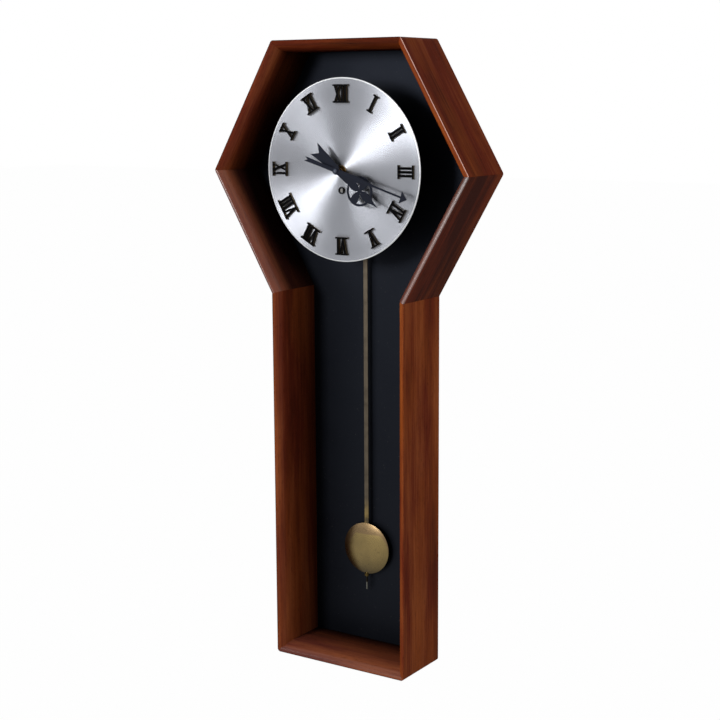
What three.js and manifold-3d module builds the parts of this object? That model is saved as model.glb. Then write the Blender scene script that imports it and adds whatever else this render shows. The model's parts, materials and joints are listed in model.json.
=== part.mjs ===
// Pendulum wall clock: a mitred walnut case with a hexagonal head over a straight column,
// a spun aluminium dial, and a spring-driven movement that swings a half-metre pendulum.
//
// Units are millimetres. X runs to the right, Y back into the wall and Z up. The origin is
// the point of the wall where the hanging nail goes in, so the clock stands in front of y = 0.

import * as THREE from "three";
import { mergeVertices } from "three/addons/utils/BufferGeometryUtils.js";
import Module from "manifold-3d";

const wasm = await Module();
wasm.setup();

// ---------------------------------------------------------------------------------------
// Driving dimensions

const SEAT = 0.3; // gap between a piece and the face it is fixed to
const RUNNING = 0.3; // gap around anything that turns or slides

// Case
const CASE_HEIGHT = 768;
const HEAD_WIDTH = 362; // across the two side corners of the head
const TOP_WIDTH = 182; // outer width of the top board
const COLUMN_WIDTH = 190; // outer width of the straight column
const CASE_DEPTH = 83;
const HEAD_SLOPE = 60; // degrees between a sloping board and level
const BOARD = 13; // thickness of every board
const ROUNDING_DEPTH = 24; // how far back the rounded inner front edge runs
const EASED_EDGE = 1; // radius of the outer front edges
const CORNER_ROUNDING = 4; // radius of the outer corners of the case
const RABBET = 6; // width of the step that takes the back panel
const PANEL = 6; // thickness of the back panel
const PANEL_RECESS = 5; // from the wall to the back of the panel
const HANGING_DROP = 40; // from the top of the case down to the nail

// Hanger
const NAIL = 4; // diameter of the nail's shank
const NAIL_HEAD = 9;
const NAIL_PLAY = 0.5; // gap round the nail in the keyhole
const KEYHOLE_DROP = 11; // from the nail's seat down to the round hole
const HANGER_WIDTH = 76;
const HANGER_HEIGHT = 27;
const HANGER_STEEL = 1.2; // sheet thickness
const HANGER_RAISE = 2.6; // how far the middle stands out from the ends
const HANGER_END = 13; // length of the flat that is screwed down
const HANGER_BEND = 4; // length of the slope up to the middle
const HANGER_SCREW = 1.5; // radius
const HANGER_SCREW_DEPTH = 4; // into the panel
const HANGER_SCREW_INSET = 6; // from the end of the plate

// Dial and numerals
const DIAL_DROP = 153; // from the top of the case down to the dial's centre
const DIAL_RADIUS = 109;
const DIAL = 1; // sheet thickness
const DIAL_BEVEL = 1.4; // width of the bright rim
const DIAL_BORE = 4.2; // radius of the hole for the hand pipes
const DIAL_BUSH = 6.2; // radius of the collar round that hole
const DIAL_BUSH_HEIGHT = 1.4;
const NUMERAL_RING = 90; // radius of the circle through the numerals' middles
const NUMERAL_HEIGHT = 21.5;
const NUMERAL = 2.4; // thickness
const NUMERAL_BAR = 2; // height of the bar across each end of a numeral
const BAR_OVERHANG = 1.5;
const STEM = 3; // width of a thick stroke
const HAIRLINE = 2.1; // width of a thin stroke
const STEM_PITCH = 4.4; // room that an I takes
const WIDE_PITCH = 10; // room that a V or an X takes
const NUMERAL_SLIPS = { IV: 0.8, V: 1.1 }; // degrees that a numeral was set past its hour

// Hands
const HAND = 0.8; // sheet thickness
const HOUR_LIFT = 8.2; // from the dial's face to the hour hand
const HAND_SPACING = 3.2; // from the hour hand to the minute hand
const MINUTE_ANGLE = 107.5; // degrees clockwise from twelve
const HOUR_ANGLE = 127.2;
const HUB = 4.6; // radius of the round middle of a hand
const MINUTE_REACH = 103;
const MINUTE_TAIL = 47;
const ARROW_LENGTH = 8.8;
const ARROW_HALF_WIDTH = 7.4;
const ARROW_SWEEP = 0.4; // how far the barbs sweep back
const NEEDLE = 1.1; // half width of the minute hand's straight part
const LEAF = 3.8; // half width of the minute hand where it swells
const LEAF_WIDEST = 29; // from the hub
const LEAF_END = 57;
const MINUTE_TAIL_WAIST = 2.3; // half width
const MINUTE_TAIL_HALF_WIDTH = 2.8;
const MINUTE_TAIL_NOTCH = 4.5; // depth
const HAND_NUT = 1.2; // height
const HAND_NUT_RADIUS = 2.6; // over the corners
const HOUR_REACH = 69.5;
const HOUR_TAIL = 43.2;
const TAIL_NOTCH = 33.3; // from the hub to the notch of the swallow tail
const TAIL_SPREAD = 11.2; // degrees from the hand's axis to each point of the tail
const ROUNDEL_DISTANCE = 38.5; // from the hub to the middle of the roundel
const ROUNDEL = 18; // outer radius
const ROUNDEL_BAND = 2.8;
const SPADE_HALF_WIDTH = 4.1;
const NECK_HALF_WIDTH = 4.3;

// Movement frame
const PLATE = 2; // thickness of the two brass plates
const PLATE_HALF_WIDTH = 42;
const PLATE_ABOVE = 46; // from the centre arbor to the top edge
const PLATE_BELOW = 47;
const PLATE_CORNER = 6;
const PLATE_GAP = 28; // between the plates
const PILLAR_INSET = 6; // from a plate's edges to a pillar's axis
const PILLAR = 3.2; // radius
const PILLAR_SCREW = 1.6; // radius of the screwed ends
const SCREW_HEAD = 3.4; // radius
const SCREW_HEAD_HEIGHT = 1.4;
const POST_LENGTH = 18; // from the back panel to the back plate
const POST = 4.5; // radius
const POST_BORE_DEPTH = 7;
const DIAL_GAP = 6; // from the front plate to the dial
const FOOT = 1.9; // radius of a dial foot
const FOOT_PIN = 1.2;
const FOOT_INSET = 8; // from a side of the plate to an upper foot
const FOOT_RISE = 16; // from the centre arbor to the upper feet
const LOW_FOOT_INSET = 4; // from the bottom of the plate to the lower foot

// Train. A size in modules is a share of the pitch diameter over the tooth count.
const WINDING_DROP = 23.7; // from the centre arbor down to the winding arbor
const GREAT = { teeth: 78, leaves: 12, module: 0.48 }; // drives the intermediate pinion
const INTERMEDIATE = { teeth: 72, leaves: 10, module: 0.5 }; // drives the centre pinion
const CENTRE = { teeth: 72, leaves: 8, module: 0.48 }; // drives the third pinion
const THIRD = { teeth: 64, leaves: 8, module: 0.45 }; // drives the escape pinion
const MINUTE = { teeth: 36, leaves: 12, module: 0.5 }; // is driven by the cannon pinion
const HOUR = { teeth: 40, leaves: 10 }; // is driven by the minute pinion
const MINUTE_STUD_DIRECTION = 160; // degrees, from the centre arbor
const WHEEL_TOOTH = { base: 0.8, tip: 0.28, addendum: 1.15, dedendum: 1.4 }; // in modules
const LEAF_TOOTH = { half: 0.46, addendum: 0.65, dedendum: 1.6 };
const ESCAPE_TEETH = 35;
const ESCAPE_RADIUS = 11;
const ESCAPE_SPAN = 7.5; // tooth spaces between the two pallets
const SUSPENSION_RISE = 34; // from the centre arbor up to the pallet arbor
const WHEEL = 1.2; // thickness of a train wheel
const PINION = 3.4; // length of a pinion
const ARBOR = 0.95; // radius
const PIVOT = 0.6;
const RIM = 1.8; // width of a wheel's rim inside its teeth
const SPOKE = 1.8;
const SPOKES = 5;
const COLLET = 3; // radius of the boss that carries a wheel on its arbor
const SWING = 4; // degrees that the pendulum swings to each side
const ESCAPE_TOOTH = 1.7; // depth
const PALLET_STEEL = 4; // width of the anchor along its arbor
const PALLET = 1.6; // depth of a pallet below the anchor's arm
const ANCHOR_ARM = 2.4; // width
const ANCHOR_BOSS = 2.3; // radius
const WHEEL_SPACE = 1.5; // between a plate or the drum and the next wheel
const CENTRE_SPACE = 2.2; // between the intermediate wheel and the centre wheel
const THIRD_SETBACK = 13; // from the front plate to the third wheel
const ESCAPE_SETBACK = 6.5; // from the front plate to the escape wheel
const STUD = 1.2; // radius of the fixed studs
const STUD_HEAD = 0.8; // thickness
const STUD_FLANGE = 1; // how far the head stands out round the click's stud
const STUD_END = 0.6; // how far the minute stud stands out of its pinion
const CANNON_PINION = 1.8; // length
const MINUTE_PINION = 3; // length

// Mainspring barrel and winding work
const GREAT_WHEEL = 2; // thickness
const DRUM_RADIUS = 17.5;
const DRUM_LENGTH = 15;
const DRUM_WALL = 1.2;
const WINDING_ARBOR = 2.5; // radius
const WINDING_SQUARE = 3.2; // across the flats
const SQUARE_STANDOUT = 1.2; // from the dial's face forward to the end of the square
const EYELET_BORE = 3.1;
const EYELET_WALL = 0.5;
const EYELET_HEIGHT = 1.4; // of the flange, in front of the dial
const EYELET_FLANGE = 1.1; // how far the flange stands out round the bore
const SPRING_STRIP = 0.5;
const SPRING_TURNS = 5;
const RATCHET_TEETH = 24;
const RATCHET_RADIUS = 7;
const RATCHET_DEPTH = 1;
const RATCHET = 1.5; // thickness
const CLICK_DISTANCE = 11; // from the winding arbor to the click's screw
const CLICK_DIRECTION = 150; // degrees
const CLICK_REACH = 50; // degrees round the ratchet from the click's screw to its nose
const CLICK_EYE = 1.4; // width of the click round its screw
const CLICK_NOSE = 1.5; // width of the nose outside the ratchet

// Hand pipes
const CENTRE_TIP = 0.9; // radius of the centre arbor in front of the plate
const PIPE_WALL = 0.75;

// Pendulum
const PENDULUM_LENGTH = 513; // from the suspension to the middle of the bob
const ROD_STANDOFF = 6.5; // from the back panel to the middle of the rod
const ROD_WIDTH = 5.8;
const ROD = 1.2; // thickness
const BOB_RADIUS = 33;
const BOB = 10; // thickness in the middle
const BOB_RIM = 2.2; // thickness at the edge
const TAIL_RADIUS = 1.2;
const TAIL_LENGTH = 21; // below the bob
const NUT_RADIUS = 3;
const NUT = 3; // height
const NUT_GROOVE = 0.3; // depth of the nut's knurling
const CHOP_DEPTH = 7; // of the brass blocks on the suspension spring, front to back
const CHOP_HEIGHT = 8;
const CHOP = 2.4; // thickness
const SUSPENSION_STRIP = 0.4;
const STRIP_LENGTH = 10;
const PIN = 1.1; // radius of the suspension pins
const TOP_PIN_DROP = 1.6; // from the top of the upper block to its pin
const CHEEK = 1.8; // thickness of the forks that carry the pins
const FORK_WEB = 5; // height of the rod's head below its slot
const COCK_FOOT = 18; // width of the cock's foot
const COCK_FOOT_STEEL = 2; // thickness
const COCK_HEIGHT = 7;
const COCK_PIN_INSET = 2.5; // from an end of the foot to its pin
const BAR_END = 8; // from the middle of the bob down to the end of the flat bar
const RATING_TRAVEL = 2; // how far the bob can be moved each way
const CRUTCH_LENGTH = 38;
const CRUTCH_WIDTH = 3;
const CRUTCH = 1; // sheet thickness
const CRUTCH_BOSS = 3; // length of the boss on the anchor's arbor
const CRUTCH_WALL = 1; // width of the boss round the arbor
const PRONG = 0.8; // radius of the two prongs that embrace the rod
const PRONG_END = 2; // how far the prongs stand out behind the rod

// Facets round a full circle
const FINE = 64;
const ROUND = 18;
const SMALL = 12;

// Facets round an outer corner of the case
const CORNER_STEPS = 6;

// ---------------------------------------------------------------------------------------
// Places that follow from the dimensions. A depth is a y; more negative is nearer the front.

const caseTop = HANGING_DROP;
const caseBottom = caseTop - CASE_HEIGHT;
const slope = Math.tan(THREE.MathUtils.degToRad(HEAD_SLOPE));
const sideLevel = caseTop - ((HEAD_WIDTH - TOP_WIDTH) / 2) * slope;
const neckLevel = sideLevel - ((HEAD_WIDTH - COLUMN_WIDTH) / 2) * slope;

const panelBack = -PANEL_RECESS;
const panelFront = panelBack - PANEL;
const backPlateRear = panelFront - POST_LENGTH;
const backPlateFront = backPlateRear - PLATE;
const frontPlateRear = backPlateFront - PLATE_GAP;
const frontPlateFront = frontPlateRear - PLATE;
const dialBack = frontPlateFront - DIAL_GAP;
const dialFront = dialBack - DIAL;
const hourHandBack = dialFront - HOUR_LIFT;
const minuteHandBack = hourHandBack - HAND - HAND_SPACING;
const rodDepth = panelFront - ROD_STANDOFF;
const dialLevel = caseTop - DIAL_DROP;

const pitchRadius = (count, module) => (count * module) / 2;
const hourModule = ((MINUTE.teeth + MINUTE.leaves) * MINUTE.module) / (HOUR.teeth + HOUR.leaves);

// The arbors, as [x, z] from the centre arbor.
const centre = [0, 0];
const winding = [0, -WINDING_DROP];
const suspension = [0, SUSPENSION_RISE];
const escapeSpan = (ESCAPE_SPAN / ESCAPE_TEETH) * Math.PI; // half of the angle that the pallets span
const escapeArbor = [0, SUSPENSION_RISE - ESCAPE_RADIUS / Math.cos(escapeSpan)];
const meshDistance = (pair) => pitchRadius(pair.teeth + pair.leaves, pair.module);
const intermediate = meetingPoint(winding, meshDistance(GREAT), centre, meshDistance(INTERMEDIATE), 1);
const third = meetingPoint(centre, meshDistance(CENTRE), escapeArbor, meshDistance(THIRD), -1);
const minuteStud = polar(meshDistance(MINUTE), MINUTE_STUD_DIRECTION);
const clickScrew = offset(winding, polar(CLICK_DISTANCE, CLICK_DIRECTION));

// Levels on the suspension, from the line that the pendulum swings about.
const crutchCollet = ARBOR + SEAT + CRUTCH_WALL; // radius
const cockBottom = crutchCollet + 3 * RUNNING;
const cockPinLevel = cockBottom + COCK_HEIGHT / 2;
const cockPins = [COCK_PIN_INSET - COCK_FOOT / 2, COCK_FOOT / 2 - COCK_PIN_INSET];
const topPinLevel = CHOP_HEIGHT - TOP_PIN_DROP;
const lowerPinLevel = -STRIP_LENGTH - CHOP_HEIGHT / 2;
const barEnd = -PENDULUM_LENGTH - BAR_END;

// Depths of the wheels between the plates, each given for its front face.
const greatDepth = frontPlateRear + WHEEL_SPACE;
const drumBack = greatDepth + GREAT_WHEEL + DRUM_LENGTH;
const intermediateDepth = drumBack + WHEEL_SPACE;
const centreDepth = intermediateDepth + WHEEL + CENTRE_SPACE;
const thirdDepth = frontPlateRear + THIRD_SETBACK;
const escapeDepth = frontPlateRear + ESCAPE_SETBACK;

// ---------------------------------------------------------------------------------------
// Small geometry helpers

function polar(radius, degrees) {
  const angle = THREE.MathUtils.degToRad(degrees);
  return [radius * Math.cos(angle), radius * Math.sin(angle)];
}

function offset([x, z], [dx, dz]) {
  return [x + dx, z + dz];
}

function direction([x1, z1], [x2, z2]) {
  return Math.atan2(z2 - z1, x2 - x1);
}

// The point at one distance from p and another from q, to the right (+1) or left (-1).
function meetingPoint(p, fromP, q, fromQ, side) {
  const span = Math.hypot(q[0] - p[0], q[1] - p[1]);
  const along = (fromP ** 2 - fromQ ** 2 + span ** 2) / (2 * span);
  const across = Math.sqrt(fromP ** 2 - along ** 2) * side;
  const [ux, uz] = [(q[0] - p[0]) / span, (q[1] - p[1]) / span];
  return [p[0] + ux * along + uz * across, p[1] + uz * along - ux * across];
}

function polygon(points) {
  return new THREE.Shape(points.map(([x, z]) => new THREE.Vector2(x, z)));
}

function circle(radius, [x, z] = [0, 0], Outline = THREE.Path) {
  return new Outline().absarc(x, z, radius, 0, 2 * Math.PI);
}

function rectangle(left, bottom, right, top) {
  return polygon([
    [left, bottom],
    [right, bottom],
    [right, top],
    [left, top],
  ]);
}

// Sheet cut to an outline in the XZ plane, its front face at y = front.
function sheet(shape, front, thickness, curveSegments = SMALL) {
  return new THREE.ExtrudeGeometry(shape, { depth: thickness, bevelEnabled: false, curveSegments })
    .rotateX(Math.PI / 2)
    .translate(0, front + thickness, 0);
}

// Block between two corners.
function block([x1, y1, z1], [x2, y2, z2]) {
  return new THREE.BoxGeometry(x2 - x1, y2 - y1, z2 - z1).translate(
    (x1 + x2) / 2,
    (y1 + y2) / 2,
    (z1 + z2) / 2,
  );
}

// Turned piece about the Y axis, from [radius, y] pairs that go from front to back.
function turned(profile, segments = SMALL) {
  return new THREE.LatheGeometry(
    profile.map(([radius, y]) => new THREE.Vector2(radius, y)),
    segments,
  );
}

// Turned piece with a bore: the profile closes on itself.
function turnedRing(profile, segments = SMALL) {
  return turned([...profile, profile[0]], segments);
}

function rod(radius, front, back, segments = SMALL) {
  return turned([[0, front], [radius, front], [radius, back], [0, back]], segments);
}

function solid(geometry) {
  const bare = geometry.index ? geometry.toNonIndexed() : geometry.clone();
  bare.deleteAttribute("normal");
  bare.deleteAttribute("uv");
  const merged = mergeVertices(bare, 1e-4);
  return new wasm.Manifold(
    new wasm.Mesh({
      numProp: 3,
      vertProperties: merged.attributes.position.array,
      triVerts: new Uint32Array(merged.index.array),
    }),
  );
}

function geometryOf(manifold) {
  const mesh = manifold.getMesh();
  return new THREE.BufferGeometry()
    .setAttribute("position", new THREE.BufferAttribute(mesh.vertProperties, 3))
    .setIndex(new THREE.BufferAttribute(mesh.triVerts, 1));
}

function join(...geometries) {
  return geometryOf(geometries.map(solid).reduce((whole, next) => whole.add(next)));
}

function cut(geometry, ...tools) {
  return geometryOf(tools.map(solid).reduce((whole, next) => whole.subtract(next), solid(geometry)));
}

function finish(color, roughness, metalness) {
  return new THREE.MeshStandardMaterial({ color, roughness, metalness });
}

const walnut = finish(0x6b3420, 0.45, 0);
const blackPanel = finish(0x1a1c22, 0.6, 0);
const aluminium = finish(0xc9ccd2, 0.3, 1);
const blackMetal = finish(0x23262e, 0.45, 0.4);
const brass = finish(0xb08d4a, 0.35, 1);
const agedBrass = finish(0x7c6a3c, 0.45, 1);
const steel = finish(0x8d9096, 0.35, 1);
const blueSteel = finish(0x3a4258, 0.3, 1);

function piece(name, geometry, material, [x, z] = [0, 0]) {
  const mesh = new THREE.Mesh(geometry, material);
  mesh.name = name;
  mesh.position.set(x, 0, z);
  return mesh;
}

// ---------------------------------------------------------------------------------------
// Case: eight boards with mitred ends round the outline, and the panel that closes the back

// Outer corners of the case, clockwise as seen from the front.
const corners = [
  [-TOP_WIDTH / 2, caseTop],
  [TOP_WIDTH / 2, caseTop],
  [HEAD_WIDTH / 2, sideLevel],
  [COLUMN_WIDTH / 2, neckLevel],
  [COLUMN_WIDTH / 2, caseBottom],
  [-COLUMN_WIDTH / 2, caseBottom],
  [-COLUMN_WIDTH / 2, neckLevel],
  [-HEAD_WIDTH / 2, sideLevel],
];

const boardNames = [
  "top_board",
  "upper_right_board",
  "lower_right_board",
  "right_side_board",
  "bottom_board",
  "left_side_board",
  "lower_left_board",
  "upper_left_board",
];

// Cross section of a board: x is inward from its outer face, y is depth.
function boardSection() {
  const section = new THREE.Shape();
  section.moveTo(0, EASED_EDGE - CASE_DEPTH);
  section.quadraticCurveTo(0, -CASE_DEPTH, EASED_EDGE, -CASE_DEPTH);
  section.absellipse(
    EASED_EDGE,
    ROUNDING_DEPTH - CASE_DEPTH,
    BOARD - EASED_EDGE,
    ROUNDING_DEPTH,
    -Math.PI / 2,
    0,
  );
  section.lineTo(BOARD, panelFront - SEAT);
  section.lineTo(BOARD - RABBET, panelFront - SEAT);
  section.lineTo(BOARD - RABBET, 0);
  section.lineTo(0, 0);
  return section;
}

// Half of the angle inside the case at a corner.
function mitreAngle(index) {
  const here = corners[index];
  const before = corners[(index + corners.length - 1) % corners.length];
  const after = corners[(index + 1) % corners.length];
  const turn = direction(here, after) - direction(here, before);
  return ((turn + 4 * Math.PI) % (2 * Math.PI)) / 2;
}

// The sharp edge that comes off an outer corner: everything outside an arc which touches
// both faces there.
function cornerWaste(index) {
  const corner = corners[index];
  const half = mitreAngle(index);
  const after = direction(corner, corners[(index + 1) % corners.length]);
  const toMiddle = after - half;
  const away = CORNER_ROUNDING / Math.sin(half);
  const middle = [corner[0] + away * Math.cos(toMiddle), corner[1] + away * Math.sin(toMiddle)];
  const out = toMiddle + Math.PI;
  const sweep = Math.PI / 2 - half;
  const arc = [];
  for (let i = 0; i <= CORNER_STEPS; i++) {
    const angle = out - sweep + (2 * sweep * i) / CORNER_STEPS;
    arc.push([middle[0] + CORNER_ROUNDING * Math.cos(angle), middle[1] + CORNER_ROUNDING * Math.sin(angle)]);
  }
  const beyond = (angle) => [
    middle[0] + 2 * CORNER_ROUNDING * Math.cos(angle),
    middle[1] + 2 * CORNER_ROUNDING * Math.sin(angle),
  ];
  return sheet(polygon([...arc, beyond(out + sweep), beyond(out - sweep)]), -CASE_DEPTH - 1, CASE_DEPTH + 2);
}

// One board along the edge that starts at a corner. Its ends are cut on the mitre planes,
// and each keeps half of the seat gap.
function board(index) {
  const start = corners[index];
  const end = corners[(index + 1) % corners.length];
  const length = Math.hypot(end[0] - start[0], end[1] - start[1]);
  const startAngle = mitreAngle(index);
  const endAngle = mitreAngle((index + 1) % corners.length);
  const [ux, uz] = [(end[0] - start[0]) / length, (end[1] - start[1]) / length];
  const geometry = new THREE.ExtrudeGeometry(boardSection(), {
    depth: 1,
    bevelEnabled: false,
    curveSegments: 8,
  });
  const position = geometry.attributes.position;
  for (let i = 0; i < position.count; i++) {
    const inward = position.getX(i);
    const atEnd = position.getZ(i) > 0.5;
    const angle = atEnd ? endAngle : startAngle;
    const setBack = inward / Math.tan(angle) + SEAT / 2 / Math.sin(angle);
    const along = atEnd ? length - setBack : setBack;
    position.setXYZ(
      i,
      start[0] + ux * along + uz * inward,
      position.getY(i),
      start[1] + uz * along - ux * inward,
    );
  }
  const outerCorners = [index, (index + 1) % corners.length].filter(
    (corner) => mitreAngle(corner) < Math.PI / 2,
  );
  return cut(geometry, ...outerCorners.map(cornerWaste));
}

// The case outline moved inward by a distance.
function insetOutline(distance) {
  return corners.map((corner, index) => {
    const after = corners[(index + 1) % corners.length];
    const edge = direction(corner, after);
    const angle = mitreAngle(index);
    const along = distance / Math.tan(angle);
    return [
      corner[0] + Math.cos(edge) * along + Math.sin(edge) * distance,
      corner[1] + Math.sin(edge) * along - Math.cos(edge) * distance,
    ];
  });
}

const pillarPlaces = [
  [-(PLATE_HALF_WIDTH - PILLAR_INSET), PLATE_ABOVE - PILLAR_INSET],
  [PLATE_HALF_WIDTH - PILLAR_INSET, PLATE_ABOVE - PILLAR_INSET],
  [PLATE_HALF_WIDTH - PILLAR_INSET, -(PLATE_BELOW - PILLAR_INSET)],
  [-(PLATE_HALF_WIDTH - PILLAR_INSET), -(PLATE_BELOW - PILLAR_INSET)],
];

const hangerScrewPlace = HANGER_WIDTH / 2 - HANGER_SCREW_INSET;

function backPanel() {
  const outline = polygon(insetOutline(BOARD - RABBET + SEAT));
  for (const place of pillarPlaces) {
    outline.holes.push(circle(PILLAR_SCREW + RUNNING, offset(place, [0, dialLevel])));
  }
  const screwHole = rod(HANGER_SCREW + SEAT, panelBack - HANGER_SCREW_DEPTH - SEAT, panelBack + 1);
  return cut(
    sheet(outline, panelFront, PANEL),
    screwHole.clone().translate(-hangerScrewPlace, 0, hangerLevel),
    screwHole.translate(hangerScrewPlace, 0, hangerLevel),
  );
}

// Stamped steel hanger: its ends are screwed to the panel, and the raised middle leaves
// room for the nail's head behind a keyhole.
const keyholeWidth = NAIL + 2 * NAIL_PLAY;
const hangerLevel = -KEYHOLE_DROP / 2 - 1; // middle of the plate

function hangerPlate() {
  const endBack = panelBack + SEAT + HANGER_STEEL;
  const middleBack = endBack + HANGER_RAISE;
  const end = HANGER_WIDTH / 2;
  const foot = end - HANGER_END;
  const shoulder = foot - HANGER_BEND;
  const bent = [
    [-end, endBack],
    [-foot, endBack],
    [-shoulder, middleBack],
    [shoulder, middleBack],
    [foot, endBack],
    [end, endBack],
  ];
  const inner = bent.map(([x, y]) => [x, y - HANGER_STEEL]).reverse();
  const plate = new THREE.ExtrudeGeometry(polygon([...inner, ...bent]), {
    depth: HANGER_HEIGHT,
    bevelEnabled: false,
  }).translate(0, 0, hangerLevel - HANGER_HEIGHT / 2);
  const hole = (radius, z) => rod(radius, -CASE_DEPTH, 1, ROUND).translate(0, 0, z);
  const slot = block([-keyholeWidth / 2, -CASE_DEPTH, -KEYHOLE_DROP], [keyholeWidth / 2, 1, 0]);
  const screw = turned([
    [0, panelBack - HANGER_SCREW_DEPTH],
    [HANGER_SCREW, panelBack - HANGER_SCREW_DEPTH],
    [HANGER_SCREW, endBack],
    [SCREW_HEAD, endBack],
    [SCREW_HEAD, endBack + SCREW_HEAD_HEIGHT],
    [0, endBack + SCREW_HEAD_HEIGHT],
  ]);
  return join(
    cut(plate, hole(keyholeWidth / 2, 0), hole(NAIL_HEAD / 2 + NAIL_PLAY, -KEYHOLE_DROP), slot),
    screw.clone().translate(-hangerScrewPlace, 0, hangerLevel),
    screw.translate(hangerScrewPlace, 0, hangerLevel),
  );
}

const clock = new THREE.Group();
boardNames.forEach((name, index) => clock.add(piece(name, board(index), walnut)));
clock.add(piece("back_panel", backPanel(), blackPanel));
clock.add(piece("hanger_plate", hangerPlate(), steel));

// Everything below is placed from the centre arbor.
const movement = new THREE.Group();
movement.position.z = dialLevel;
clock.add(movement);

// ---------------------------------------------------------------------------------------
// Movement frame: two plates on pillars, held off the back panel by four posts

const footPlaces = [
  [-(PLATE_HALF_WIDTH - FOOT_INSET), FOOT_RISE],
  [PLATE_HALF_WIDTH - FOOT_INSET, FOOT_RISE],
  [0, -(PLATE_BELOW - LOW_FOOT_INSET)],
];

function plateOutline() {
  const [right, top, bottom] = [PLATE_HALF_WIDTH, PLATE_ABOVE, -PLATE_BELOW];
  const corner = PLATE_CORNER;
  const outline = new THREE.Shape();
  outline.moveTo(-right, bottom + corner);
  outline.absarc(-right + corner, bottom + corner, corner, Math.PI, 1.5 * Math.PI);
  outline.absarc(right - corner, bottom + corner, corner, 1.5 * Math.PI, 2 * Math.PI);
  outline.absarc(right - corner, top - corner, corner, 0, 0.5 * Math.PI);
  outline.absarc(-right + corner, top - corner, corner, 0.5 * Math.PI, Math.PI);
  for (const place of pillarPlaces) outline.holes.push(circle(PILLAR_SCREW + RUNNING, place));
  for (const place of [intermediate, third, escapeArbor]) {
    outline.holes.push(circle(PIVOT + RUNNING, place));
  }
  return outline;
}

function frontPlate() {
  const outline = plateOutline();
  outline.holes.push(circle(CENTRE_TIP + RUNNING, centre));
  outline.holes.push(circle(windingPivot + RUNNING, winding));
  outline.holes.push(circle(PIVOT + RUNNING, suspension));
  for (const place of footPlaces) outline.holes.push(circle(FOOT_PIN + RUNNING, place));
  const stud = rod(STUD, minuteWheelFront - MINUTE_PINION - STUD_END, frontPlateRear);
  const clickStud = turned([
    [0, ratchetFront - RUNNING - STUD_HEAD],
    [STUD + STUD_FLANGE, ratchetFront - RUNNING - STUD_HEAD],
    [STUD + STUD_FLANGE, ratchetFront - RUNNING],
    [STUD, ratchetFront - RUNNING],
    [STUD, frontPlateRear],
    [0, frontPlateRear],
  ]);
  return join(
    sheet(outline, frontPlateFront, PLATE, 4),
    stud.translate(minuteStud[0], 0, minuteStud[1]),
    clickStud.translate(clickScrew[0], 0, clickScrew[1]),
  );
}

function backPlate() {
  const outline = plateOutline();
  outline.holes.push(circle(PIVOT + RUNNING, centre));
  outline.holes.push(circle(windingPivot + RUNNING, winding));
  outline.holes.push(circle(ARBOR + RUNNING, suspension));
  for (const x of cockPins) {
    outline.holes.push(circle(PIVOT + SEAT, offset(suspension, [x, cockPinLevel])));
  }
  return sheet(outline, backPlateFront, PLATE, 4);
}

function pillar() {
  const headFront = frontPlateFront - SEAT - SCREW_HEAD_HEIGHT;
  return turned([
    [0, headFront],
    [SCREW_HEAD, headFront],
    [SCREW_HEAD, frontPlateFront - SEAT],
    [PILLAR_SCREW, frontPlateFront - SEAT],
    [PILLAR_SCREW, frontPlateRear + SEAT],
    [PILLAR, frontPlateRear + SEAT],
    [PILLAR, backPlateFront - SEAT],
    [PILLAR_SCREW, backPlateFront - SEAT],
    [PILLAR_SCREW, backPlateRear + POST_BORE_DEPTH - SEAT],
    [0, backPlateRear + POST_BORE_DEPTH - SEAT],
  ]);
}

// Post between the panel and the back plate. It takes the end of a pillar in its bore, and
// its own screw goes through the panel.
function post() {
  const headFront = panelBack + SEAT;
  return turned([
    [0, backPlateRear + POST_BORE_DEPTH],
    [PILLAR_SCREW + SEAT, backPlateRear + POST_BORE_DEPTH],
    [PILLAR_SCREW + SEAT, backPlateRear + SEAT],
    [POST, backPlateRear + SEAT],
    [POST, panelFront - SEAT],
    [PILLAR_SCREW, panelFront - SEAT],
    [PILLAR_SCREW, headFront],
    [SCREW_HEAD, headFront],
    [SCREW_HEAD, headFront + SCREW_HEAD_HEIGHT],
    [0, headFront + SCREW_HEAD_HEIGHT],
  ]);
}

// Dial foot: flanged against the back of the dial and pinned through the front plate.
function dialFoot() {
  return turned([
    [0, dialBack + SEAT],
    [2 * FOOT, dialBack + SEAT],
    [2 * FOOT, dialBack + SEAT + DIAL],
    [FOOT, dialBack + SEAT + DIAL],
    [FOOT, frontPlateFront - SEAT],
    [FOOT_PIN, frontPlateFront - SEAT],
    [FOOT_PIN, frontPlateRear],
    [0, frontPlateRear],
  ]);
}

// Motion work in front of the front plate, and the ratchet beside it.
const windingPivot = WINDING_ARBOR - RUNNING;
const cannonFront = frontPlateFront - RUNNING - CANNON_PINION;
const minuteWheelFront = frontPlateFront - 2 * RUNNING - WHEEL;
const hourWheelFront = cannonFront - 2 * RUNNING - WHEEL;
const ratchetFront = frontPlateFront - RUNNING - RATCHET;

movement.add(piece("front_plate", frontPlate(), brass));
movement.add(piece("back_plate", backPlate(), brass));
pillarPlaces.forEach((place, index) => {
  movement.add(piece(`plate_pillar_${index + 1}`, pillar(), brass, place));
  movement.add(piece(`mounting_post_${index + 1}`, post(), steel, place));
});
footPlaces.forEach((place, index) => {
  movement.add(piece(`dial_foot_${index + 1}`, dialFoot(), brass, place));
});

// ---------------------------------------------------------------------------------------
// Dial, winding eyelet and numerals

const eyeletOuter = EYELET_BORE + EYELET_WALL;

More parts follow.
